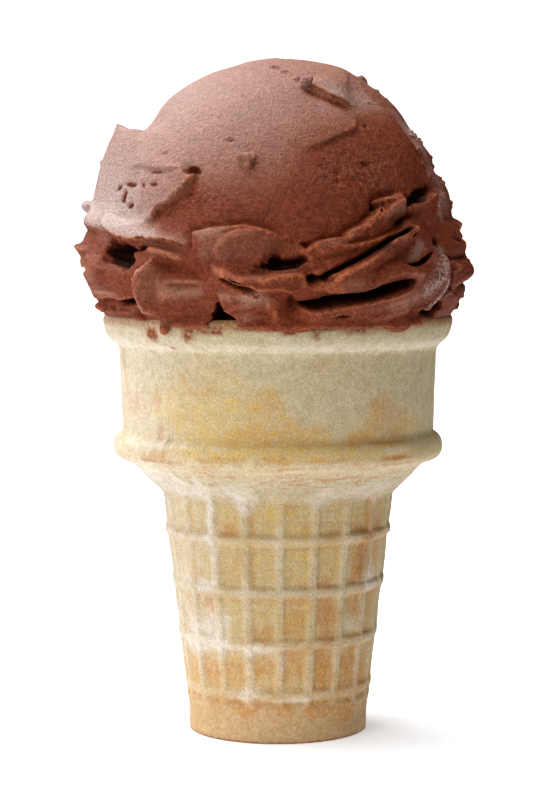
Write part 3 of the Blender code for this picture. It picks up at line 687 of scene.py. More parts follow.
def painted_sheen(azimuth, height):
    """Painted sheen on the upper skin: strongest at the upper left and the top, where the lamps light it, ending in a
    line across the front.
    """
    turns = (-180, -120, -90, -60, -45, -41, -40, -36, -30, -27.3, -26, -20, -10, -3, 2, 6, 9, 15, 20,
             28, 31, 33.5, 36, 45, 60, 80, 100, 180)
    edges = (102, 100, 92, 92, 92.6, 93.4, 95, 96, 99, 101, 99, 98.6, 98.2, 98.6, 100, 103, 105, 106, 107,
             108.2, 108.7, 110.3, 111.5, 112, 112.5, 112, 110, 102)
    edge = np.interp(azimuth, turns, edges)
    turn = azimuth * DEGREE
    left = -np.sin(turn) * np.sqrt(np.clip((122.6 - height) / 36.6, 0, 1))
    strength = 0.36 + 0.36 * np.clip(left, -0.55, 1.0) + 0.16 * smooth_step(100.0, 118.0, height)
    soft = np.interp(azimuth, (-110, -60, -45, -35, -22, 0, 12, 60, 110), (3.0, 1.0, 0.8, 0.8, 4.0, 4.5, 1.0, 1.0, 3.0))
    share = np.interp(azimuth, (-45, -30, -20, 0, 12, 40, 60), (1.0, 0.8, 0.6, 0.4, 0.35, 0.35, 0.6))
    near = smooth_step(-soft, soft, height - edge)
    far = smooth_step(-4.0, 9.0, height - edge)
    return strength * (share * near + (1 - share) * far)


def on_all_sides(route):
    """A route, and for a fold on the front also ones like it at the back and round both sides."""
    middle = sum(azimuth for azimuth, _ in route) / len(route)
    highest = max(height for _, height in route)
    lines = [route]
    if abs(middle) <= 56 and highest <= 99:
        lines.append(tuple((azimuth * 1.06 + BACK_TURN, height - BACK_DROP) for azimuth, height in route))
    if 4 < middle < 52 and highest <= 99:
        lines.append(tuple((azimuth * 0.85 + SIDE_TURN, height - 1.0) for azimuth, height in route))
        lines.append(tuple((-azimuth * 0.9 - SIDE_TURN, height - 1.4) for azimuth, height in route[::-1]))
    return lines


def build_skin():
    """The skin with its relief and finish painted on."""
    skin = Skin(CHART_STEP)
    azimuth = np.broadcast_to(skin.columns[None, :], skin.relief.shape)
    height = np.broadcast_to(skin.height_rows[:, None], skin.relief.shape)
    skin.relief += slab(azimuth, height)
    # Painted sheen over the upper skin.
    skin.sheen_and_pale_skin += painted_sheen(azimuth, height)
    sculptor = Sculptor(skin)
    for _, rise, edge, fade, route in LEDGES:
        for line in on_all_sides(route):
            sculptor.ledge(rise, edge, fade, line)
    for _, rise, left_width, right_width, route, *taper in RIDGES:
        for line in on_all_sides(route):
            sculptor.ridge(rise, left_width, right_width, line, *taper)
    for field, strokes in FINISHES.items():
        for _, amount, width, route, *taper in strokes:
            repeated = field in ("sheen_and_pale_skin", "dark") and len(route) < 8
            for line in on_all_sides(route) if repeated else [route]:
                sculptor.paint(field, amount, width, line, *taper)
    for field, _, amount, edge, outline in PATCHES:
        sculptor.patch(field, amount, edge, outline)
    np.clip(skin.rough, 0.0, 1.0, out=skin.rough)
    add_texture(skin, azimuth, height)
    return skin


# ================================================================ the solid field
class Clay:
    """The ice cream as a field on a grid: below zero inside, above zero outside."""

    def __init__(self, skin, step):
        self.skin, self.step = skin, step
        reach = 38.8
        self.origin = np.array([-reach, -reach, 73.4])
        counts = [int(2 * reach / step) + 1] * 2 + [int((SCOOP_TOP + 2.2 - 73.4) / step) + 1]
        self.shape = tuple(counts)
        x = self.origin[0] + step * np.arange(counts[0])
        y = self.origin[1] + step * np.arange(counts[1])
        z = self.origin[2] + step * np.arange(counts[2])
        radius = np.hypot(x[:, None], y[None, :])
        along, out = self.unroll(radius, z)
        near = (out > -6.5) & (out < 5.5)
        self.field = np.where(out < 0, -3.0, 3.0).astype(np.float32)
        index = np.flatnonzero(near)
        azimuth = np.degrees(np.arctan2(x[:, None], -y[None, :]))
        azimuth = np.broadcast_to(azimuth[:, :, None], self.shape).reshape(-1)[index]
        order = np.argsort(azimuth, kind="stable")
        self.index = index[order]
        self.azimuth = azimuth[order].astype(np.float32)
        self.along = along.reshape(-1)[self.index]
        self.out = out.reshape(-1)[self.index]
        cell = np.unravel_index(self.index, self.shape)
        self.x, self.y, self.z = (axis[c].astype(np.float32) for axis, c in zip((x, y, z), cell))
        self.per_degree = np.maximum(
            0.05, np.interp(self.along, skin.rows, skin.radius_rows) * DEGREE
        ).astype(np.float32)
        self.waver_side = skin.sample(skin.waver_side, self.azimuth, self.along)
        self.waver_up = skin.sample(skin.waver_up, self.azimuth, self.along)
        self.plain = self.out - skin.sample(skin.relief, self.azimuth, self.along)
        self.value = self.plain.copy()

    def unroll(self, radius, z):
        """Way along the skin and distance outside it, for each place on the grid."""
        skin, fine = self.skin, 0.25
        r_axis = np.arange(0.0, radius.max() + 2 * fine, fine)
        z_axis = np.arange(z[0] - fine, z[-1] + 2 * fine, fine)
        line_r, line_z = skin.radii, skin.heights
        slope_r, slope_z = np.gradient(line_r, skin.along), np.gradient(line_z, skin.along)
        along = np.empty((len(r_axis), len(z_axis)), np.float32)
        out = np.empty_like(along)
        for i, r in enumerate(r_axis):
            away = (r - line_r[None, :]) ** 2 + (z_axis[:, None] - line_z[None, :]) ** 2
            best = away.argmin(1)
            dr, dz = r - line_r[best], z_axis - line_z[best]
            tr, tz = slope_r[best], slope_z[best]
            along[i] = skin.along[best] + dr * tr + dz * tz
            out[i] = dr * tz - dz * tr
        row = radius / fine
        r0 = np.floor(row).astype(np.int64)
        fr = (row - r0)[:, :, None].astype(np.float32)
        column = (z - z_axis[0]) / fine
        c0 = np.floor(column).astype(np.int64)
        fc = (column - c0)[None, None, :].astype(np.float32)
        spread = []
        for table in (along, out):
            lines = table[:, c0] * (1 - fc[0]) + table[:, c0 + 1] * fc[0]
            spread.append(lines[r0] * (1 - fr) + lines[r0 + 1] * fr)
        return spread

    def pick(self, azimuth_low, azimuth_high, along_low, along_high):
        """Numbers of the grid points in a window."""
        found = []
        for shift in (-360.0, 0.0, 360.0):
            first = np.searchsorted(self.azimuth, azimuth_low + shift)
            last = np.searchsorted(self.azimuth, azimuth_high + shift)
            if last > first:
                part = np.arange(first, last)
                inside = (self.along[part] > along_low) & (self.along[part] < along_high)
                found.append(part[inside])
        return np.concatenate(found) if found else np.empty(0, np.int64)

    def cut(self, depth, widths, lean, route, taper=3.0):
        """A gap that narrows with depth and may lean upwards under what is above it."""
        line = smooth_line(self.skin.seat(route), 1.1)
        reach = max(widths) + lean * depth + 1.5
        side = reach / max(0.1, float(self.skin.radius_rows.max()) * DEGREE) * 1.2
        chosen = self.pick(
            line[:, 0].min() - side, line[:, 0].max() + side,
            line[:, 1].min() - reach, line[:, 1].max() + reach,
        )
        middle = line[:, 0].mean()
        azimuth = middle + turn_between(self.azimuth[chosen], middle)
        azimuth = azimuth + self.waver_side[chosen] / self.per_degree[chosen]
        along = self.along[chosen] + self.waver_up[chosen]
        away, ends, share = measure(line, azimuth, along, self.per_degree[chosen], reach + 1.0)
        sunk = -self.plain[chosen]
        fullness = smooth_step(-0.3, taper, ends)
        mouth = np.interp(share, (0.0, 0.5, 1.0), widths) * fullness
        floor = np.maximum(0.3, depth * fullness)
        narrowing = np.clip(1.0 - np.maximum(0.0, sunk) / floor, 0.0, 1.0) ** 0.35
        gap = np.maximum(np.abs(away - lean * np.maximum(0, sunk)) - mouth * narrowing, sunk - floor)
        self.value[chosen] = soft_max(self.value[chosen], -gap, 0.2)

    def local(self, azimuth, height, reach):
        """Grid points near a place, and how far each is to the right of it and above it."""
        azimuth, along = self.skin.seat([(azimuth, height)])[0]
        per_degree = max(0.05, float(np.interp(along, self.skin.rows, self.skin.radius_rows)) * DEGREE)
        side = min(170.0, 1.3 * reach / per_degree)
        chosen = self.pick(azimuth - side, azimuth + side, along - reach, along + reach)
        right = turn_between(self.azimuth[chosen], azimuth) * self.per_degree[chosen]
        right = right + self.waver_side[chosen]
        up = self.along[chosen] - along + self.waver_up[chosen]
        return chosen, right, up

    def pit(self, azimuth, height, half_width, half_height, depth, ragged):
        chosen, right, up = self.local(azimuth, height, 1.6 * max(half_width, half_height) + 1.0)
        grain = max(0.9, 0.6 * half_width)
        uneven = 1.0 + 0.35 * ragged.at(
            self.x[chosen] / grain, self.y[chosen] / grain, self.z[chosen] / grain
        )
        across = np.hypot(right / half_width, up / half_height) * uneven
        size = np.hypot(across, self.plain[chosen] / depth)
        hole = (size - 1.0) * min(half_width, half_height)
        self.value[chosen] = soft_max(self.value[chosen], -hole, 0.25)

    def lump(self, azimuth, height, half_width, half_height, half_depth, out, ragged):
        chosen, right, up = self.local(azimuth, height, 1.6 * max(half_width, half_height) + 1.2)
        uneven = 1.0 + 0.3 * ragged.at(self.x[chosen], self.y[chosen], self.z[chosen])
        size = np.sqrt(
            (right / half_width) ** 2 + (up / half_height) ** 2
            + ((self.plain[chosen] - out) / half_depth) ** 2
        ) * uneven
        body = (size - 1.0) * min(half_width, half_height, half_depth)
        self.value[chosen] = soft_min(self.value[chosen], body, 0.3)

    def trim_below(self, grain):
        """Seats the scoop on the rim, with its front lapping over the rim's outer edge."""
        azimuth = self.azimuth
        turn = azimuth * DEGREE
        wave = 0.3 * grain.at(np.sin(turn) * 9, np.cos(turn) * 9, 0.0 * turn)
        wave += 0.1 * grain.at(np.sin(turn) * 27, np.cos(turn) * 27, 3.0 + 0.0 * turn)
        front = smooth_step(-52, -45, azimuth) * smooth_step(61, 54, azimuth)
        edge = 76.7 + wave - 1.9 * front
        for middle, reach, drop in ((-38.5, 3.4, 1.9), (39.0, 5.0, 1.0), (-16.0, 5.0, -0.5), (2.0, 8.0, 0.4)):
            edge = edge - drop * np.sqrt(np.clip(1 - ((azimuth - middle) / reach) ** 2, 0, 1))
        radius = np.hypot(self.x, self.y)
        outside = smooth_step(RIM_RADIUS - 0.3, RIM_RADIUS + 0.15, radius)
        bottom = SEAT + (edge - SEAT) * outside
        self.value = soft_max(self.value, bottom - self.z, 0.5)

    def finished(self):
        """The whole field, gently evened out so that it meshes without steps."""
        deep = self.field < 0
        z = self.origin[2] + self.step * np.arange(self.shape[2])
        floor = np.broadcast_to((SEAT - z)[None, None, :], self.shape)
        field = np.where(deep, np.maximum(self.field, floor), self.field).reshape(-1)
        field[self.index] = self.value
        field = np.clip(field.reshape(self.shape), -1.5, 1.5).astype(np.float32)
        for axis in range(3):
            padded = np.take(field, np.clip(np.arange(-1, field.shape[axis] + 1), 0, field.shape[axis] - 1), axis)
            low = np.take(padded, np.arange(0, field.shape[axis]), axis)
            high = np.take(padded, np.arange(2, field.shape[axis] + 2), axis)
            field = 0.09 * low + 0.82 * field + 0.09 * high
        return field


    def sunk_grid(self):
        """How far each grid point lies under the skin before gaps were cut, on the whole grid."""
        sunk = -self.field.reshape(-1).copy()
        sunk[self.index] = -self.plain
        return sunk.reshape(self.shape)


def spread_out(field, reach):
    """The field averaged over a cube of 2 x reach + 1 grid points a side."""
    for axis in range(3):
        total = np.zeros_like(field)
        for shift in range(-reach, reach + 1):
            total += np.roll(field, shift, axis)
        field = total / (2 * reach + 1)
    return field


def read_grid(grid, origin, step, points):
    """A grid's value at each point, read between its grid points."""
    place = np.clip((points - origin) / step, 0, np.array(grid.shape) - 1.001)
    low = np.floor(place).astype(np.int64)
    share = place - low
    total = 0.0
    for corner in CORNERS:
        weight = np.prod([share[:, i] if c else 1 - share[:, i] for i, c in enumerate(corner)], axis=0)
        total = total + weight * grid[tuple((low + corner).T)]
    return total


CORNERS = list(itertools.product((0, 1), repeat=3))


def mesh_of_field(field, origin, step):
    """Points and four-sided faces of the surface where the field is zero."""
    inside = field < 0
    nx, ny, nz = field.shape
    count = np.zeros((nx - 1, ny - 1, nz - 1), np.int8)
    for i, j, k in CORNERS:
        count += inside[i : nx - 1 + i, j : ny - 1 + j, k : nz - 1 + k]
    active = (count > 0) & (count < 8)
    cells = np.argwhere(active)
    number = np.full(active.shape, -1, np.int64)
    number[active] = np.arange(len(cells))
    total = np.zeros((len(cells), 3))
    hits = np.zeros(len(cells))
    for a, b in itertools.combinations(CORNERS, 2):
        if sum(p != q for p, q in zip(a, b)) != 1:
            continue
        value_a = field[tuple((cells + a).T)]
        value_b = field[tuple((cells + b).T)]
        crosses = (value_a < 0) != (value_b < 0)
        share = value_a[crosses] / (value_a[crosses] - value_b[crosses])
        total[crosses] += np.array(a) + share[:, None] * (np.array(b) - np.array(a))
        hits[crosses] += 1
    points = origin + step * (cells + total / hits[:, None])
    faces = []
    for axis in range(3):
        low = np.take(inside, np.arange(field.shape[axis] - 1), axis)
        high = np.take(inside, np.arange(1, field.shape[axis]), axis)
        edges = np.argwhere(low != high)
        first, second = [other for other in range(3) if other != axis]
        edges = edges[(edges[:, first] > 0) & (edges[:, second] > 0)]
        edges = edges[(edges[:, first] < field.shape[first] - 1) & (edges[:, second] < field.shape[second] - 1)]
        ring = []
        for back_first, back_second in ((1, 1), (0, 1), (0, 0), (1, 0)):
            cell = edges.copy()
            cell[:, first] -= back_first
            cell[:, second] -= back_second
            ring.append(number[tuple(cell.T)])
        ring = np.stack(ring, 1)
        outward = low[tuple(edges.T)]
        flip = outward if axis != 1 else ~outward
        ring[~flip] = ring[~flip][:, ::-1]
        faces.append(ring)
    return points, np.concatenate(faces)


# ================================================================ objects and materials
def linear(channel):
    return channel / 12.92 if channel <= 0.04045 else ((channel + 0.055) / 1.055) ** 2.4


def colour(hex_code):
    """An sRGB hex colour as Blender's linear colour."""
    parts = [int(hex_code[i : i + 2], 16) / 255 for i in (1, 3, 5)]
    return [linear(part) for part in parts] + [1.0]


def add_node(tree, kind, settings=None, values=None, links=None):
    """Adds one node: its settings, the values of its sockets, and links into its sockets."""
    node = tree.nodes.new(kind)
    for name, value in (settings or {}).items():
        setattr(node, name, value)
    for socket, value in (values or {}).items():
        node.inputs[socket].default_value = value
    for socket, source in (links or {}).items():
        tree.links.new(source, node.inputs[socket])
    return node


def new_material(name):
    material = bpy.data.materials.new(name)
    material.use_nodes = True
    material.node_tree.nodes.clear()
    return material, material.node_tree


def new_object(name, points, faces, material, smooth=True):
    mesh = bpy.data.meshes.new(name)
    mesh.from_pydata((np.asarray(points) * MM).tolist(), [], [list(map(int, face)) for face in faces])
    mesh.validate()
    obj = bpy.data.objects.new(name, mesh)
    bpy.context.scene.collection.objects.link(obj)
    if smooth:
        mesh.shade_smooth()
    mesh.materials.append(material)
    return obj


def add_layer(obj, name, values):
    layer = obj.data.attributes.new(name, "FLOAT", "POINT")
    layer.data.foreach_set("value", np.asarray(values, np.float32))


def thin_out(obj, most_triangles):
    """Merges faces where the surface is flattest, down to a number of triangles."""
    triangles = 2 * len(obj.data.polygons)
    if triangles <= most_triangles:
        return
    fewer = obj.modifiers.new("Fewer faces", "DECIMATE")
    fewer.ratio = most_triangles / triangles
    bpy.context.view_layer.update()
    graph = bpy.context.evaluated_depsgraph_get()
    mesh = bpy.data.meshes.new_from_object(obj.evaluated_get(graph))
    obj.modifiers.clear()
    obj.data = mesh
    mesh.shade_smooth()


def noise(tree, place, size, detail=3.0, roughness=0.6, stretch=None):
    """Noise whose blobs are about `size` mm across, drawn out where `stretch` is below one."""
    if stretch:
        place = add_node(
            tree, "ShaderNodeMapping", None, {"Scale": stretch}, {"Vector": place}
        ).outputs["Vector"]
    return add_node(
        tree, "ShaderNodeTexNoise", None,
        {"Scale": 1 / (size * MM), "Detail": detail, "Roughness": roughness}, {"Vector": place},
    ).outputs["Fac"]


def spread(tree, value, low, high, least=0.0, most=1.0):
    """The value from low to high, drawn out to run from least to most."""
    return add_node(
        tree, "ShaderNodeMapRange", None,
        {"From Min": low, "From Max": high, "To Min": least, "To Max": most}, {"Value": value},
    ).outputs["Result"]


def layer(tree, name):
    return add_node(tree, "ShaderNodeAttribute", {"attribute_name": name}).outputs["Fac"]


def product(tree, first, second):
    return add_node(
        tree, "ShaderNodeMath", {"operation": "MULTIPLY", "use_clamp": True}, None, {0: first, 1: second}
    ).outputs["Value"]


def tint(tree, under, hex_code, share):
    """The colour underneath, with another laid over it."""
    return add_node(
        tree, "ShaderNodeMix", {"data_type": "RGBA"}, {"B": colour(hex_code)},
        {"Factor": share, "A": under},
    ).outputs["Result"]


def dimmed(tree, under, share):
    """The colour underneath, made darker or lighter."""
    return add_node(
        tree, "ShaderNodeVectorMath", {"operation": "SCALE"}, None, {0: under, "Scale": share}
    ).outputs["Vector"]


def bumped(tree, height, depth, under=None, strength=None):
    links = {"Height": height}
    if strength is not None:
        links["Strength"] = strength
    if under is not None:
        links["Normal"] = under
    return add_node(
        tree, "ShaderNodeBump", None, {"Strength": 1.0, "Distance": depth * MM}, links
    ).outputs["Normal"]


def two_tones(tree, first, second, share):
    return add_node(
        tree, "ShaderNodeMix", {"data_type": "RGBA"}, {"A": colour(first), "B": colour(second)},
        {"Factor": share},
    ).outputs["Result"]


def ice_cream_material():
    """Chocolate ice cream: thick, wet and slightly see-through, with icy patches and some pale dry skin. Painted light
    is laid into its colour: a pale sheen on the upper skin, lighter crests, near-black shade in hollows and grooves,
    pale glints on torn places and a highlight along the right-hand edges.
    """
    material, tree = new_material("chocolate ice cream, scooped")
    place = add_node(tree, "ShaderNodeTexCoord").outputs["Object"]
    cloud = noise(tree, place, 7.0, roughness=0.55)
    grain = noise(tree, place, 0.9)
    crystals = noise(tree, place, 0.42, detail=2.0, roughness=0.7)
    streaks = noise(tree, place, 1.1, detail=2.0, stretch=(0.3, 0.3, 1.8))
    tone = two_tones(tree, "#752D15", "#8E4426", spread(tree, grain, 0.38, 0.62))
    tone = dimmed(tree, tone, spread(tree, cloud, 0.35, 0.65, 0.9, 1.06))
    tone = dimmed(tree, tone, spread(tree, streaks, 0.35, 0.65, 0.93, 1.06))
    # Lighter orange on sharp crests: a painted highlight of light shining through thin edges.
    tone = tint(tree, tone, "#BE6B42", product(tree, layer(tree, "crest"), spread(tree, grain, 0.38, 0.6, 0.2, 0.65)))
    # Near-black in hollows, pits and along the dark strokes: painted shade.
    tone = tint(tree, tone, "#1C0703", product(tree, layer(tree, "hollow"), spread(tree, cloud, 0.3, 0.7, 0.85, 1.0)))
    # A pale painted sheen, broken up by grain and streaks: warmer in the folds, greyer above them, and pale dry skin
    # where it is painted on the right.
    film = product(tree, spread(tree, grain, 0.3, 0.7, 0.8, 1.05), spread(tree, streaks, 0.3, 0.7, 0.88, 1.0))
    sheen_and_pale_skin = layer(tree, "sheen_and_pale_skin")
    dry = product(tree, spread(tree, sheen_and_pale_skin, 0.2, 0.8), layer(tree, "upper"))
    skin = two_tones(tree, "#BE8B72", "#CDB8B0", dry)
    tone = add_node(
        tree, "ShaderNodeMix", {"data_type": "RGBA"}, None,
        {"Factor": product(tree, sheen_and_pale_skin, film), "A": tone, "B": skin},
    ).outputs["Result"]
    tone = dimmed(tree, tone, spread(tree, crystals, 0.38, 0.62, 0.78, 1.16))
    # Icy white specks where the frost layer is; along the right-hand edges they are a painted highlight.
    frosted = product(tree, layer(tree, "frost"), spread(tree, crystals, 0.4, 0.6))
    tone = tint(tree, tone, "#D0BDB4", frosted)
    # Pale specks on torn rough places: painted glints.
    torn = layer(tree, "rough")
    painted_glints = product(tree, torn, spread(tree, crystals, 0.56, 0.68, 0.0, 0.5))
    tone = tint(tree, tone, "#C9937A", painted_glints)
    rough = bumped(tree, streaks, 0.1, bumped(tree, grain, 0.16, bumped(tree, crystals, 0.5)))
    rough = bumped(tree, grain, 0.5, rough, torn)
    shader = add_node(
        tree, "ShaderNodeBsdfPrincipled", None,
        {
            "Subsurface Weight": 0.12,
            "Subsurface Radius": (1.0, 0.3, 0.12),
            "Subsurface Scale": 0.5 * MM,
            "IOR": 1.45,
            "Specular IOR Level": 0.17,
        },
        {"Base Color": tone, "Roughness": spread(tree, grain, 0.3, 0.7, 0.38, 0.48), "Normal": rough},
    )
    add_node(tree, "ShaderNodeOutputMaterial", links={"Surface": shader.outputs["BSDF"]})
    return material


def wafer_material():
    """Baked wafer: a dry foam of flour, matt and finely porous, browned where it touched the iron. Painted light is
    laid into its colour: paler on the left-hand side and below the rim, and painted shade on the foot under the barrel,
    under each ring and round the rim under the scoop.
    """
    material, tree = new_material("baked wafer, moulded")
    place = add_node(tree, "ShaderNodeTexCoord").outputs["Object"]
    crumb = noise(tree, place, 1.5)
    mottle = noise(tree, place, 0.8, detail=4.0, roughness=0.7)
    pores = noise(tree, place, 0.35, detail=2.0, roughness=0.75)
    streaks = noise(tree, place, 1.0, detail=3.0, stretch=(0.16, 0.16, 1.5))
    lines = noise(tree, place, 1.0, detail=3.0, stretch=(1.3, 1.3, 0.16))
    tone = two_tones(tree, "#C2AE86", "#D3C19C", spread(tree, crumb, 0.35, 0.65))
    tone = tint(tree, tone, "#DCB868", product(tree, layer(tree, "yellow"), spread(tree, mottle, 0.4, 0.6, 0.25, 1.0)))
    # Toasted brown, and painted shade just under each ring and along the rim's top.
    tone = tint(tree, tone, "#C98D49", product(tree, layer(tree, "toast_and_shade"), spread(tree, mottle, 0.38, 0.62, 0.45, 1.1)))
    tone = tint(tree, tone, "#C48E5C", product(tree, layer(tree, "streaky"), spread(tree, streaks, 0.5, 0.68, 0.0, 1.0)))
    tone = tint(tree, tone, "#E4D8C4", product(tree, layer(tree, "streaky"), spread(tree, lines, 0.5, 0.7, 0.0, 0.6)))
    # Pale flour, and painted light: paler on the left-hand side and on the band below the rim.
    tone = tint(tree, tone, "#EADDCB", product(tree, layer(tree, "flour_and_painted_light"), spread(tree, crumb, 0.35, 0.6, 0.55, 1.1)))
    # Brown stains, and painted shade along the rim's top edge under the scoop.
    tone = tint(tree, tone, "#8A4218", product(tree, layer(tree, "stain_and_shade"), spread(tree, mottle, 0.35, 0.55, 0.5, 1.2)))
    # Darker on the foot under the barrel and on the rim under the scoop: painted shade.
    tone = dimmed(tree, tone, spread(tree, layer(tree, "shade_under_overhang"), 0.0, 1.0, 1.0, 0.82))
    tone = dimmed(tree, tone, spread(tree, pores, 0.38, 0.62, 0.84, 1.12))
    rough = bumped(tree, crumb, 0.12, bumped(tree, pores, 0.2))
    shader = add_node(
        tree, "ShaderNodeBsdfPrincipled", None,
        {"Roughness": 0.75, "Subsurface Weight": 0.15, "Subsurface Radius": (1.0, 0.6, 0.3),
         "Subsurface Scale": 0.8 * MM, "Specular IOR Level": 0.25},
        {"Base Color": tone, "Normal": rough},
    )
    add_node(tree, "ShaderNodeOutputMaterial", links={"Surface": shader.outputs["BSDF"]})
    return material


def floor_material():
    """Matt white floor that brightens away from the middle, so that it meets the backdrop unseen."""
    material, tree = new_material("painted floor, matt white")
    place = add_node(tree, "ShaderNodeTexCoord").outputs["Object"]
    away = add_node(
        tree, "ShaderNodeVectorMath", {"operation": "LENGTH"}, None, {"Vector": place}
    ).outputs["Value"]
    glow = add_node(
        tree, "ShaderNodeMapRange", {"interpolation_type": "SMOOTHSTEP"},
        {"From Min": 80 * MM, "From Max": 520 * MM, "To Min": 0.39, "To Max": 1.0}, {"Value": away},
    ).outputs["Result"]
    shader = add_node(
        tree, "ShaderNodeBsdfPrincipled", None,
        {"Base Color": colour("#EEF0F6"), "Roughness": 0.9, "Emission Color": (1, 1, 1, 1)},
        {"Emission Strength": glow},
    )
    add_node(tree, "ShaderNodeOutputMaterial", links={"Surface": shader.outputs["BSDF"]})
    return material


def plain_stage_material(name, hex_code, glow):
    material, tree = new_material(name)
    shader = add_node(
        tree, "ShaderNodeBsdfPrincipled", None,
        {"Base Color": colour(hex_code), "Roughness": 0.9, "Emission Color": (1, 1, 1, 1),
         "Emission Strength": glow},
    )
    add_node(tree, "ShaderNodeOutputMaterial", links={"Surface": shader.outputs["BSDF"]})
    return material


# ================================================================ the ice cream
# Crumbs: count, azimuth from and to, height from and to, least and greatest half width
CRUMBS = (
    (46, 60, 112, 91, 110, 0.25, 0.6), (14, 66, 105, 76.5, 90, 0.3, 0.7),
    (10, -100, -70, 100, 109, 0.2, 0.4), (30, 120, 250, 92, 118, 0.2, 0.45),
    (26, 115, 245, 77, 92, 0.3, 0.7), (10, 40, 90, 111, 119, 0.2, 0.4),
)


def scatter_crumbs(clay, ragged):
    """Small crumbs left standing where the scoop tore."""
    random = np.random.default_rng(SEED)
    for count, first, last, low, high, least, most in CRUMBS:
        for _ in range(count):
            azimuth, height = random.uniform(first, last), random.uniform(low, high)
            size = random.uniform(least, most)
            clay.lump(azimuth, height, size * random.uniform(1, 1.8), size, size, 0.3 * size, ragged)


def build_scoop(material):
    skin = build_skin()
    clay = Clay(skin, GRID_STEP)
    ragged = Grain(SEED + 5)
    for _, depth, widths, lean, route in CUTS:
        for line in on_all_sides(route):
            clay.cut(depth, widths, lean, line)
    for name, depth, width in UNDERCUTS:
        route = next(ledge[-1] for ledge in LEDGES + RIDGES if ledge[0] == name)
        clay.cut(depth, (width, width, width), -0.8, route)
    for azimuth, height, *sizes in PITS:
        for ((spot, level),) in on_all_sides(((azimuth, height),)):
            clay.pit(spot, level, *sizes, ragged)
    for lump in LUMPS:
        clay.lump(*lump, ragged)
    scatter_crumbs(clay, ragged)
    clay.trim_below(Grain(SEED + 6))
    field = clay.finished()
    points, faces = mesh_of_field(field, clay.origin, clay.step)
    scoop = new_object("ice_cream", points, faces, material)
    thin_out(scoop, MOST_TRIANGLES)
    points = np.empty(len(scoop.data.vertices) * 3, np.float32)
    scoop.data.vertices.foreach_get("co", points)
    points = points.reshape(-1, 3) / MM
    azimuth = np.degrees(np.arctan2(points[:, 0], -points[:, 1]))
    along = skin.along_at(points[:, 2])
    painted = {}
    for name in ("sheen_and_pale_skin", "frost", "dark", "rough"):
        painted[name] = np.clip(skin.sample(getattr(skin, name), azimuth, along), 0, 1)
    near = spread_out(field, max(1, round(0.6 / clay.step)))
    wide = spread_out(field, round(1.8 / clay.step))
    sharp = read_grid(near, clay.origin, clay.step, points)
    broad = read_grid(wide, clay.origin, clay.step, points)
    sunk = read_grid(clay.sunk_grid(), clay.origin, clay.step, points)
    # Lighter where the surface is sharply convex: a painted highlight on crests.
    painted["crest"] = smooth_step(0.05, 0.3, sharp) * (1 - painted["dark"])
    # Darker where the surface is hollow or sunk, and along the dark strokes: painted shade.
    sunken = np.maximum(0.4 * smooth_step(0.3, 1.0, -broad), smooth_step(0.4, 2.0, sunk))
    painted["hollow"] = np.maximum(sunken, painted.pop("dark"))
    # No painted sheen in hollows and pits.
    painted["sheen_and_pale_skin"] *= 1 - np.maximum(smooth_step(0.12, 0.45, sunk), smooth_step(0.1, 0.5, painted["hollow"]))
    painted["upper"] = smooth_step(-2.0, 3.0, points[:, 2] - fold_top(azimuth))
    for name, values in painted.items():
        add_layer(scoop, name, values)
    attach(scoop, "root")
    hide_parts("ice_cream_scoop")
    return scoop


# ================================================================ the wafer cup
def foot_radius(height):
    """Radius of the ribs' outer faces on the tapered foot."""
    return FOOT_BOTTOM_RADIUS + FOOT_TAPER * (height - 8.0)


def arc(centre, reach, half_height, start, end, count):
    turn = np.radians(np.linspace(start, end, count))
    return list(zip(centre[0] + reach * np.cos(turn), centre[1] + half_height * np.sin(turn)))


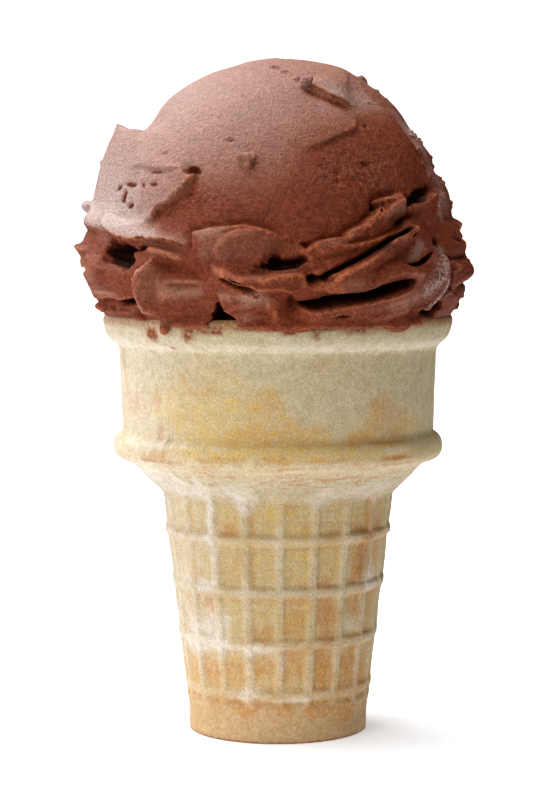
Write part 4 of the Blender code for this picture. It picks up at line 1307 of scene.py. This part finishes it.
def cup_rows():
    """(radius, height) of the cup's rows: from the floor's middle up the inside, over the rim, and down the outside to the middle of the underside."""
    low, high = foot_radius(4.0) - PANEL_DEPTH - WALL, foot_radius(FOOT_TOP) - PANEL_DEPTH - WALL
    inner = [(0.3, FLOOR), (low * 0.5, FLOOR), (low - 0.8, FLOOR), (low, FLOOR + 0.8), (high, FOOT_TOP - 0.4),
             (BARREL_BOTTOM_RADIUS - WALL - 1.2, COLLAR_HEIGHT - 1.4), (BARREL_BOTTOM_RADIUS - WALL, BARREL_BOTTOM),
             (BARREL_TOP_RADIUS - WALL, BARREL_TOP), (RIM_RADIUS - RIM_THICKNESS, CUP_HEIGHT - 1.6)]
    rim = arc((RIM_RADIUS - RIM_THICKNESS + 0.8, CUP_HEIGHT - 0.8), 0.8, 0.8, 180, 90, 5)
    rim += arc((RIM_RADIUS - 0.95, CUP_HEIGHT - 0.95), 0.95, 0.95, 90, 0, 8)
    lip = [(RIM_RADIUS, 74.8), (RIM_RADIUS - 0.12, 74.1), (RIM_RADIUS - 0.35, 73.3), (RIM_RADIUS - 0.75, 72.3),
           (RIM_RADIUS - 1.3, 71.6), (RIM_RADIUS - 1.95, 71.1), (BARREL_TOP_RADIUS + 0.5, 70.7), (BARREL_TOP_RADIUS + 0.15, 70.2)]
    barrel = [(BARREL_TOP_RADIUS + (BARREL_BOTTOM_RADIUS - BARREL_TOP_RADIUS) * t, BARREL_TOP + (BARREL_BOTTOM - BARREL_TOP) * t)
              for t in np.linspace(0, 1, 19)]
    collar = arc((BARREL_BOTTOM_RADIUS, COLLAR_HEIGHT), COLLAR_REACH, 2.6, 75, 0, 10)
    collar += arc((BARREL_BOTTOM_RADIUS, COLLAR_HEIGHT), COLLAR_REACH, 2.1, -10, -90, 9)
    shoulder = [(27.6, 49.75), (26.6, 49.1), (25.6, 48.15), (24.6, 47.0), (23.7, 46.15), (22.9, 45.35), (22.2, 44.6),
                (21.7, 44.1), (21.35, 43.7)]
    heights = list(np.arange(43.3, 39.0, -0.35))
    for number in reversed(range(4)):
        ring = RING_HEIGHTS[number]
        heights += [ring + offset for offset in (1.5, 1.3, 1.1, 0.9, 0.7, 0.5, 0.3, 0, -0.3, -0.5, -0.7, -0.9, -1.1, -1.3, -1.5)]
        floor = RING_HEIGHTS[number - 1] + 1.5 if number else None
        if floor is not None:
            heights += [ring - 1.5 + (floor - ring + 1.5) * t for t in (0.15, 0.32, 0.5, 0.68, 0.85)]
    foot = [(foot_radius(z), z) for z in heights if z > 7.0]
    base = [(16.85, 6.6), (16.7, 5.9), (16.58, 5.3), (16.5, 4.7), (BASE_RADIUS + 0.03, 4.0), (BASE_RADIUS, 3.0),
            (BASE_RADIUS, 2.0), (BASE_RADIUS, 1.0), (BASE_RADIUS - 0.05, 0.5), (BASE_RADIUS - 0.2, 0.15), (BASE_RADIUS - 0.5, 0.0),
            (14.5, 0.0), (14.0, 0.25), (9.0, 0.25), (4.0, 0.25), (0.3, 0.25)]
    return np.array(inner), np.array(rim + lip + barrel + collar + shoulder + foot + base)


def cup_columns():
    """Azimuths of the cup's columns, closer together where a rib's flank rises."""
    offsets = (0.0, 0.7, 1.3, 1.9, 2.5, 3.1, 3.7, 4.4, 5.4, 7.0)
    one_rib = sorted({-o for o in offsets} | set(offsets)) + [9.0]
    ribs = [RIB_FIRST_AZIMUTH + RIB_PITCH * number + np.array(one_rib) for number in range(RIB_COUNT)]
    fine = [np.arange(279.0, 292.0, 0.8), np.arange(310.0, 326.0, 0.8)]
    return np.sort(np.concatenate(ribs + fine) % 360.0)


# Where the wafer is browner or paler, by layer: azimuth, height, half width in degrees, half height, amount
MARKS = {
    "toast_and_shade": (
        (-24, 38.2, 5.5, 1.3, 0.9), (-27, 37, 3, 1, 0.5), (-13, 40.5, 2.2, 4, 0.6),
        (5, 43, 4, 1.6, 0.35), (14, 39.3, 3, 0.8, 0.5), (29, 38, 6.5, 0.9, 0.8),
        (47, 38.4, 8, 1.1, 1.0), (53, 41.6, 3.5, 3.6, 0.9), (63, 38.2, 4, 2.4, 0.8),
        (50, 32.6, 7, 4.6, 1.1), (63, 32, 4, 4, 0.7), (-30, 33.5, 1.8, 4.5, 0.4),
        (-21, 33, 3, 2.6, 0.35), (-13.5, 32, 2, 5.5, 0.45), (7, 30, 2, 3, 0.3),
        (23, 30, 3, 1.6, 0.4), (15, 28.4, 7, 0.7, 0.7), (28, 28.6, 6, 0.8, 0.9),
        (46, 28.8, 7, 0.9, 1.0), (-40, 26.3, 5, 1.8, 0.5), (-47, 30.5, 3, 1.8, 0.5),
        (-57, 24, 4, 3.5, 0.6), (-47, 25, 4, 2.4, 0.6), (-41, 24, 3, 2, 0.4),
        (27, 24.5, 8, 3.4, 0.9), (9, 24, 7, 3, 0.35), (48, 24.5, 7, 2.8, 0.9), (63, 25, 5, 3, 0.6),
        (12, 26.4, 6, 1, 0.5), (-8, 19.6, 7.5, 2.6, 0.85), (10, 20.5, 7, 3, 0.45),
        (28, 21, 7, 3, 0.8), (27, 18.9, 7, 0.8, 0.8), (47, 18.6, 7, 0.6, 1.0), (61, 19, 5, 1.6, 0.8),
        (-8, 14, 7.5, 2.4, 0.8), (10, 14, 8, 2.6, 0.7), (28, 14, 8, 3, 1.0), (47, 14, 8, 3, 1.0),
        (63, 13, 6, 3.4, 0.8), (-27, 13, 8, 2.8, 0.6), (-45, 13.4, 8, 2.8, 0.75),
        (-62, 13.6, 7, 3, 0.6), (28, 11, 7, 1.6, 0.8), (42, 9.2, 7, 0.9, 0.8), (58, 9.6, 7, 2, 0.7),
        (28, 6, 10, 1.4, 1.0), (-22, 6.2, 9, 1.4, 0.5), (46, 5, 12, 2.2, 0.6), (4, 5.8, 8, 1.2, 0.4),
        (-68, 51.6, 8, 0.7, 0.8), (-48, 51.8, 8, 0.7, 0.7), (-44, 52.9, 5, 0.9, 0.7),
        (-22, 52, 6, 0.6, 0.6), (-13, 52.2, 3, 0.6, 0.6), (-1, 52.2, 6, 0.6, 0.7),
        (20, 52.1, 12, 0.5, 0.5), (43, 51.9, 11, 0.5, 1.0), (43, 54.6, 13, 0.8, 0.9),
        (28, 55.4, 7, 1.2, 0.7), (0, 56.4, 20, 2.4, 0.45), (-48, 61.8, 2.4, 1.3, 0.8),
        (-34, 65.8, 2.4, 1.1, 0.6), (-28, 63.6, 6, 1.2, 0.45), (-3, 61.5, 4, 2.2, 0.5),
        (-10, 60.4, 2.4, 1, 0.5), (-34, 58.6, 6, 0.8, 0.4), (42, 58.4, 9, 3.4, 0.5),
        (40, 61.4, 4, 1.2, 0.3), (46, 56, 6, 1.2, 0.6), (-46, 56.6, 3, 0.9, 0.8),
        (-66, 60, 6, 3.2, 0.55), (-60, 62, 3, 1.2, 0.5), (16, 68.6, 4, 1.2, 0.2),
        (-45, 73.4, 5, 1.8, 0.8), (-54, 71.8, 8, 0.4, 0.4), (-71, 65, 3, 3, 0.55),
        (-64, 61, 4, 1.4, 0.4), (-68, 73, 3, 0.8, 0.5), (-62, 73.8, 2, 0.8, 0.4),
    ),
    "yellow": (
        (0, 42.4, 9, 3, 0.7), (11, 38, 9, 1, 0.9), (-60, 41, 5, 4, 0.9), (-50, 41.5, 3, 3, 0.8),
        (-63, 33, 4, 5, 0.8), (-51, 32.5, 3, 5, 0.8), (12, 33, 8, 4, 0.4), (30, 33, 7, 4, 0.4),
        (10, 23.5, 9, 4, 0.6), (5, 53.6, 30, 1.4, 1.0), (0, 55.6, 26, 1.8, 1.0),
        (-34, 53.4, 12, 1.2, 0.5), (-24, 57.5, 26, 4, 0.6), (-30, 62, 18, 4.6, 0.55),
        (-8, 61, 10, 4, 0.5), (42, 53, 14, 1.6, 0.8), (55, 57, 9, 2.2, 0.6), (36, 58, 12, 2.4, 0.35),
    ),
    "stain_and_shade": (
        (47, 38.2, 5, 0.6, 0.4), (52, 32, 4.5, 3.4, 0.35), (46, 28.6, 5, 0.4, 0.3),
        (-46, 51.2, 11, 0.35, 0.35), (44, 51.8, 9, 0.35, 0.4), (42, 54.5, 10, 0.4, 0.2),
        (62.5, 67.4, 1.2, 2, 0.3), (-45, 73.6, 2.6, 0.9, 1.4), (-43.4, 72.7, 2, 0.8, 0.8),
        (-39.4, 71.9, 1.6, 0.5, 0.9), (-37.4, 71.2, 1.5, 0.4, 0.9), (-4, 72.5, 3, 0.25, 0.5),
        (-30, 73.4, 2.4, 1, 1.0), (-26, 74.3, 5, 0.5, 0.8), (-19, 74.3, 1.5, 0.5, 0.9),
        (-5, 74.8, 7, 0.5, 0.7), (4, 74.1, 2.4, 0.5, 1.1), (12, 73.7, 2, 0.7, 1.1),
        (12, 74.8, 7, 0.5, 0.7), (38, 74.4, 9, 0.5, 0.4), (-73, 68, 2.4, 2.2, 0.35),
        (26, 74.4, 5, 0.5, 0.6),
    ),
    "flour_and_painted_light": (
        (-40, 45.6, 22, 1.5, 0.7), (-15, 44.4, 6, 3, 0.7), (43, 45.4, 19, 1.5, 0.6),
        (18, 44.4, 7, 1.6, 0.5), (-36, 40, 3.5, 8, 0.6), (-42, 28.4, 7, 1.1, 0.8),
        (-58, 28.4, 7, 1.1, 0.7), (59, 29, 6, 2.6, 0.8), (-38, 19.6, 11, 3.4, 0.9),
        (-56, 19.2, 9, 2.8, 0.8), (45, 20.9, 7, 1.2, 0.7), (-20, 17.2, 20, 0.9, 0.8),
        (-55, 16.8, 14, 1.3, 0.8), (-18, 9, 6, 1.8, 0.5), (6, 8, 9, 0.6, 0.6),
        (-45, 54, 20, 0.8, 0.6), (44, 53.2, 8, 0.7, 0.4), (-58, 48, 12, 2, 0.6),
    ),
}


def browning(azimuth, height, recess, ring, grain):
    """How yellow, browned, streaky, pale and brown-marked the wafer is at each point, with painted light and shade:
    paler on the left-hand side and below the rim, darker on the foot, under the rings and round the rim under the
    scoop.
    """
    shape = azimuth.shape
    found = {name: np.zeros(shape) for name in ("yellow", "toast_and_shade", "streaky", "flour_and_painted_light", "stain_and_shade", "shade_under_overhang")}
    around = azimuth * DEGREE * 26.0
    shift = 0.25 * grain.at(around / 2.0, height / 1.6, 0.0 * height)
    shift += 0.15 * grain.at(around / 5.0, height / 4.0, 5.0 + 0.0 * height)
    for name, marks in MARKS.items():
        for number, (middle, level, half_width, half_height, amount) in enumerate(marks):
            for turned in (0.0, BACK_TURN if number % 5 else 190.0):
                across = turn_between(azimuth, middle + turned) / half_width
                away = np.hypot(across, (height - level) / half_height)
                found[name] += amount * smooth_step(1.45, 0.35, away + shift * 1.6)
    foot = smooth_step(44.5, 42.5, height) * smooth_step(6.6, 7.6, height)
    proud = np.clip(1 - recess, 0, 1) * foot
    found["flour_and_painted_light"] += 0.3 * proud * smooth_step(0.1, 0.7, 0.5 + 0.5 * grain.at(around / 6, height / 5, 2.0 + 0 * height))
    found["toast_and_shade"] -= 0.5 * proud * found["toast_and_shade"]
    found["toast_and_shade"] += 0.25 * smooth_step(20.0, 9.0, height) + 0.3 * smooth_step(8.5, 6.5, height)
    found["yellow"] += 0.25 * foot + 0.3 * smooth_step(50.5, 52.0, height) * smooth_step(60.0, 54.0, height)
    found["yellow"] += 0.45 * foot * np.clip(recess, 0, 1)
    baked = smooth_step(-0.5, 0.6, grain.at(around / 7, height / 5, 8.0 + 0 * height))
    # Browner in a band just under each ring, where the ring's shade falls: painted shade.
    for ring_height in RING_HEIGHTS:
        under = smooth_step(0.3, 0.8, ring_height - height) * smooth_step(2.4, 1.2, ring_height - height)
        found["toast_and_shade"] += 0.5 * under * baked
    found["streaky"] += 0.9 * smooth_step(43.0, 46.0, height) * smooth_step(52.0, 50.5, height) + 0.35 * foot
    # Paler on the band below the rim, which the floor lights from below: painted light.
    found["flour_and_painted_light"] += 0.45 * smooth_step(70.2, 70.8, height) * smooth_step(73.2, 71.4, height)
    # Paler on the left-hand side, where the lamps light it: painted light.
    found["flour_and_painted_light"] += 0.5 * smooth_step(0.4, 0.95, -np.sin(azimuth * DEGREE)) * smooth_step(8, 20, height)
    # Painted shade: darker on the foot under the barrel's overhang and on the rim under the scoop.
    found["shade_under_overhang"] += smooth_step(51, 46, height) * (0.5 + 0.5 * smooth_step(12, 22, height))
    found["shade_under_overhang"] += 0.5 * smooth_step(71.0, 72.5, height)
    # Browner along the rim's top edge under the scoop, as ice cream stain and painted shade; darker at the very bottom
    # edge.
    found["toast_and_shade"] += 0.6 * smooth_step(74.0, 75.0, height)
    found["stain_and_shade"] += 0.8 * smooth_step(0.6, 0.2, height) + 0.4 * smooth_step(73.9, 75.3, height)
    return found


def build_filling(material):
    """The ice cream pressed down into the cup, under the scoop."""
    inner, _ = cup_rows()
    rows = [(radius - 0.05, height + 0.05) for radius, height in inner[1:-1]]
    rows = [(0.0, FLOOR + 0.05)] + rows + [(RIM_RADIUS - RIM_THICKNESS - 1.0, 75.5), (20.0, 77.5), (0.0, 78.5)]
    count = 96
    turns = np.arange(count) * 2 * np.pi / count
    points = [(0.0, 0.0, rows[0][1])]
    points += [(r * np.cos(t), r * np.sin(t), z) for r, z in rows[1:-1] for t in turns]
    points.append((0.0, 0.0, rows[-1][1]))
    last = len(points) - 1
    faces = [(0, 1 + (i + 1) % count, 1 + i) for i in range(count)]
    for row in range(len(rows) - 3):
        low, high = 1 + row * count, 1 + (row + 1) * count
        faces += [(low + i, low + (i + 1) % count, high + (i + 1) % count, high + i) for i in range(count)]
    top = last - count
    faces += [(top + i, top + (i + 1) % count, last) for i in range(count)]
    filling = new_object("ice_cream_in_cup", np.array(points), faces, material)
    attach(filling, "root")
    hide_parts("ice_cream_scoop")
    return filling


def build_cup():
    inner, outer = cup_rows()
    columns = cup_columns()
    rows = np.concatenate([inner, outer])
    radius = np.repeat(rows[:, 0][:, None], len(columns), 1)
    height = np.repeat(rows[:, 1][:, None], len(columns), 1)
    azimuth = np.repeat(columns[None, :], len(rows), 0)
    outside = np.arange(len(rows))[:, None] >= len(inner)
    # panels
    turn = (azimuth - RIB_FIRST_AZIMUTH + RIB_PITCH / 2) % RIB_PITCH - RIB_PITCH / 2
    off_rib = np.abs(turn) * DEGREE * radius
    rib = smooth_step(RIB_HALF_ROOT, RIB_HALF_FACE, off_rib)
    grain = Grain(SEED + 20)
    around = azimuth * DEGREE * 22.0
    worn = np.clip(0.86 + 0.3 * grain.at(around / 4.0, height / 4.0, 7.0 + 0.0 * height), 0.0, 1.0)
    rib = rib * worn
    ring = np.zeros_like(height)
    proud = np.zeros_like(height)
    for ring_height, reach in zip(RING_HEIGHTS, RING_REACH):
        near = worn * smooth_step(RING_HALF_ROOT, RING_HALF_FACE, np.abs(height - ring_height))
        ring = np.maximum(ring, near)
        proud = np.maximum(proud, near * reach)
    arch = 43.2 + 2.4 * np.sqrt(np.clip(1 - ((np.abs(turn) - 9.0) / 7.5) ** 2, 0, 1))
    panel = smooth_step(0.0, 1.1, arch - height) * smooth_step(6.7, 7.4, height)
    recess = panel * (1 - rib) * (1 - ring) * outside
    radius = radius - PANEL_DEPTH * recess + proud * outside
    x0, y0 = radius * np.sin(azimuth * DEGREE), -radius * np.cos(azimuth * DEGREE)
    dents = 0.10 * grain.at(x0 / 9, y0 / 9, height / 7) + 0.04 * grain.at(x0 / 2.2, y0 / 2.2, height / 2.2)
    radius = np.where(outside & (height > 0.3) & (radius > 14.8), radius + dents - 0.12, radius)
    x, y = radius * np.sin(azimuth * DEGREE), -radius * np.cos(azimuth * DEGREE)
    points = np.stack([x, y, height], -1).reshape(-1, 3)
    count = len(columns)
    faces = []
    top = np.arange(len(rows) - 1)[:, None] * count
    this, following = np.arange(count)[None, :], (np.arange(count)[None, :] + 1) % count
    quads = np.stack([top + this, top + following, top + count + following, top + count + this], -1).reshape(-1, 4)
    faces = quads.tolist()
    faces.append(list(range(count))[::-1])
    last = (len(rows) - 1) * count
    faces.append([last + i for i in range(count)])
    mesh = bpy.data.meshes.new("wafer_cup_baked")
    mesh.from_pydata((points * MM).tolist(), [], faces)
    mesh.validate()
    obj = bpy.data.objects.new("wafer_cup_baked", mesh)
    bpy.context.scene.collection.objects.link(obj)
    mesh.shade_smooth()
    mesh.materials.append(wafer_material())
    for name, values in browning(azimuth, height, recess, ring, grain).items():
        add_layer(obj, name, np.clip(values, 0, 1).reshape(-1))
    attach(obj, "root")
    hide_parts("wafer_cup")
    return obj


# ================================================================ stage, lights and camera
def build_stage():
    """A round white floor, its outer part and the paper wall round it seen but throwing no light."""
    turns = np.radians(np.arange(0, 360, 7.5))
    count = len(turns)
    near, far = ([(reach * math.cos(t), reach * math.sin(t), 0.0) for t in turns] for reach in (NEAR_FLOOR, STAGE_RADIUS))
    top = [(x, y, STAGE_HEIGHT) for x, y, _ in far]
    around = [(i, (i + 1) % count, count + (i + 1) % count, count + i) for i in range(count)]
    white = floor_material()
    paper = plain_stage_material("paper backdrop, white", "#FFFFFF", 1.0)
    floor = new_object("floor", near, [list(range(count))], white, smooth=False)
    outer = new_object("floor_outer", near + far, around, white, smooth=False)
    wall = new_object("backdrop", far + top, around, paper)
    for seen_only in (outer, wall):
        seen_only.visible_diffuse = False
        seen_only.visible_glossy = False
        seen_only.visible_shadow = False


def add_light(name, place, size, power, target=(0, 0, 80)):
    data = bpy.data.lights.new(name, "AREA")
    data.shape = "RECTANGLE"
    data.size, data.size_y = size[0] * MM, size[1] * MM
    data.energy = power
    light = bpy.data.objects.new(name, data)
    bpy.context.scene.collection.objects.link(light)
    spot = np.array(place, float)
    light.location = spot * MM
    from mathutils import Vector
    light.rotation_euler = Vector(target - spot).to_track_quat("-Z", "Y").to_euler()
    return light


def build_lights():
    add_light("softbox_back_left", (-350, 350, 600), (500, 500), 4.2)
    add_light("softbox_overhead", (-50, 0, 750), (600, 600), 5.6)
    add_light("softbox_left", (-700, 60, 350), (500, 500), 2.4)
    add_light("softbox_left_front", (-450, -560, 330), (450, 500), 2.6)
    add_light("softbox_right_front", (520, -560, 300), (450, 500), 0.7)
    world = bpy.data.worlds.new("studio")
    world.use_nodes = True
    world.node_tree.nodes["Background"].inputs["Color"].default_value = (1, 1, 1, 1)
    world.node_tree.nodes["Background"].inputs["Strength"].default_value = 0.02
    bpy.context.scene.world = world


def build_camera():
    data = bpy.data.cameras.new("camera")
    data.lens = 110.82
    data.sensor_width = 36.0
    data.clip_end = 10.0
    camera = bpy.data.objects.new("camera", data)
    bpy.context.scene.collection.objects.link(camera)
    camera.location = (-0.714 * MM, -448.1 * MM, 95.1 * MM)
    camera.rotation_euler = ((90.0 - 4.431) * DEGREE, 0.0, 0.0)
    bpy.context.scene.camera = camera


chocolate = ice_cream_material()
build_scoop(chocolate)
build_filling(chocolate)
build_cup()
build_stage()
build_lights()
build_camera()
bpy.context.scene.view_settings.view_transform = "Standard"
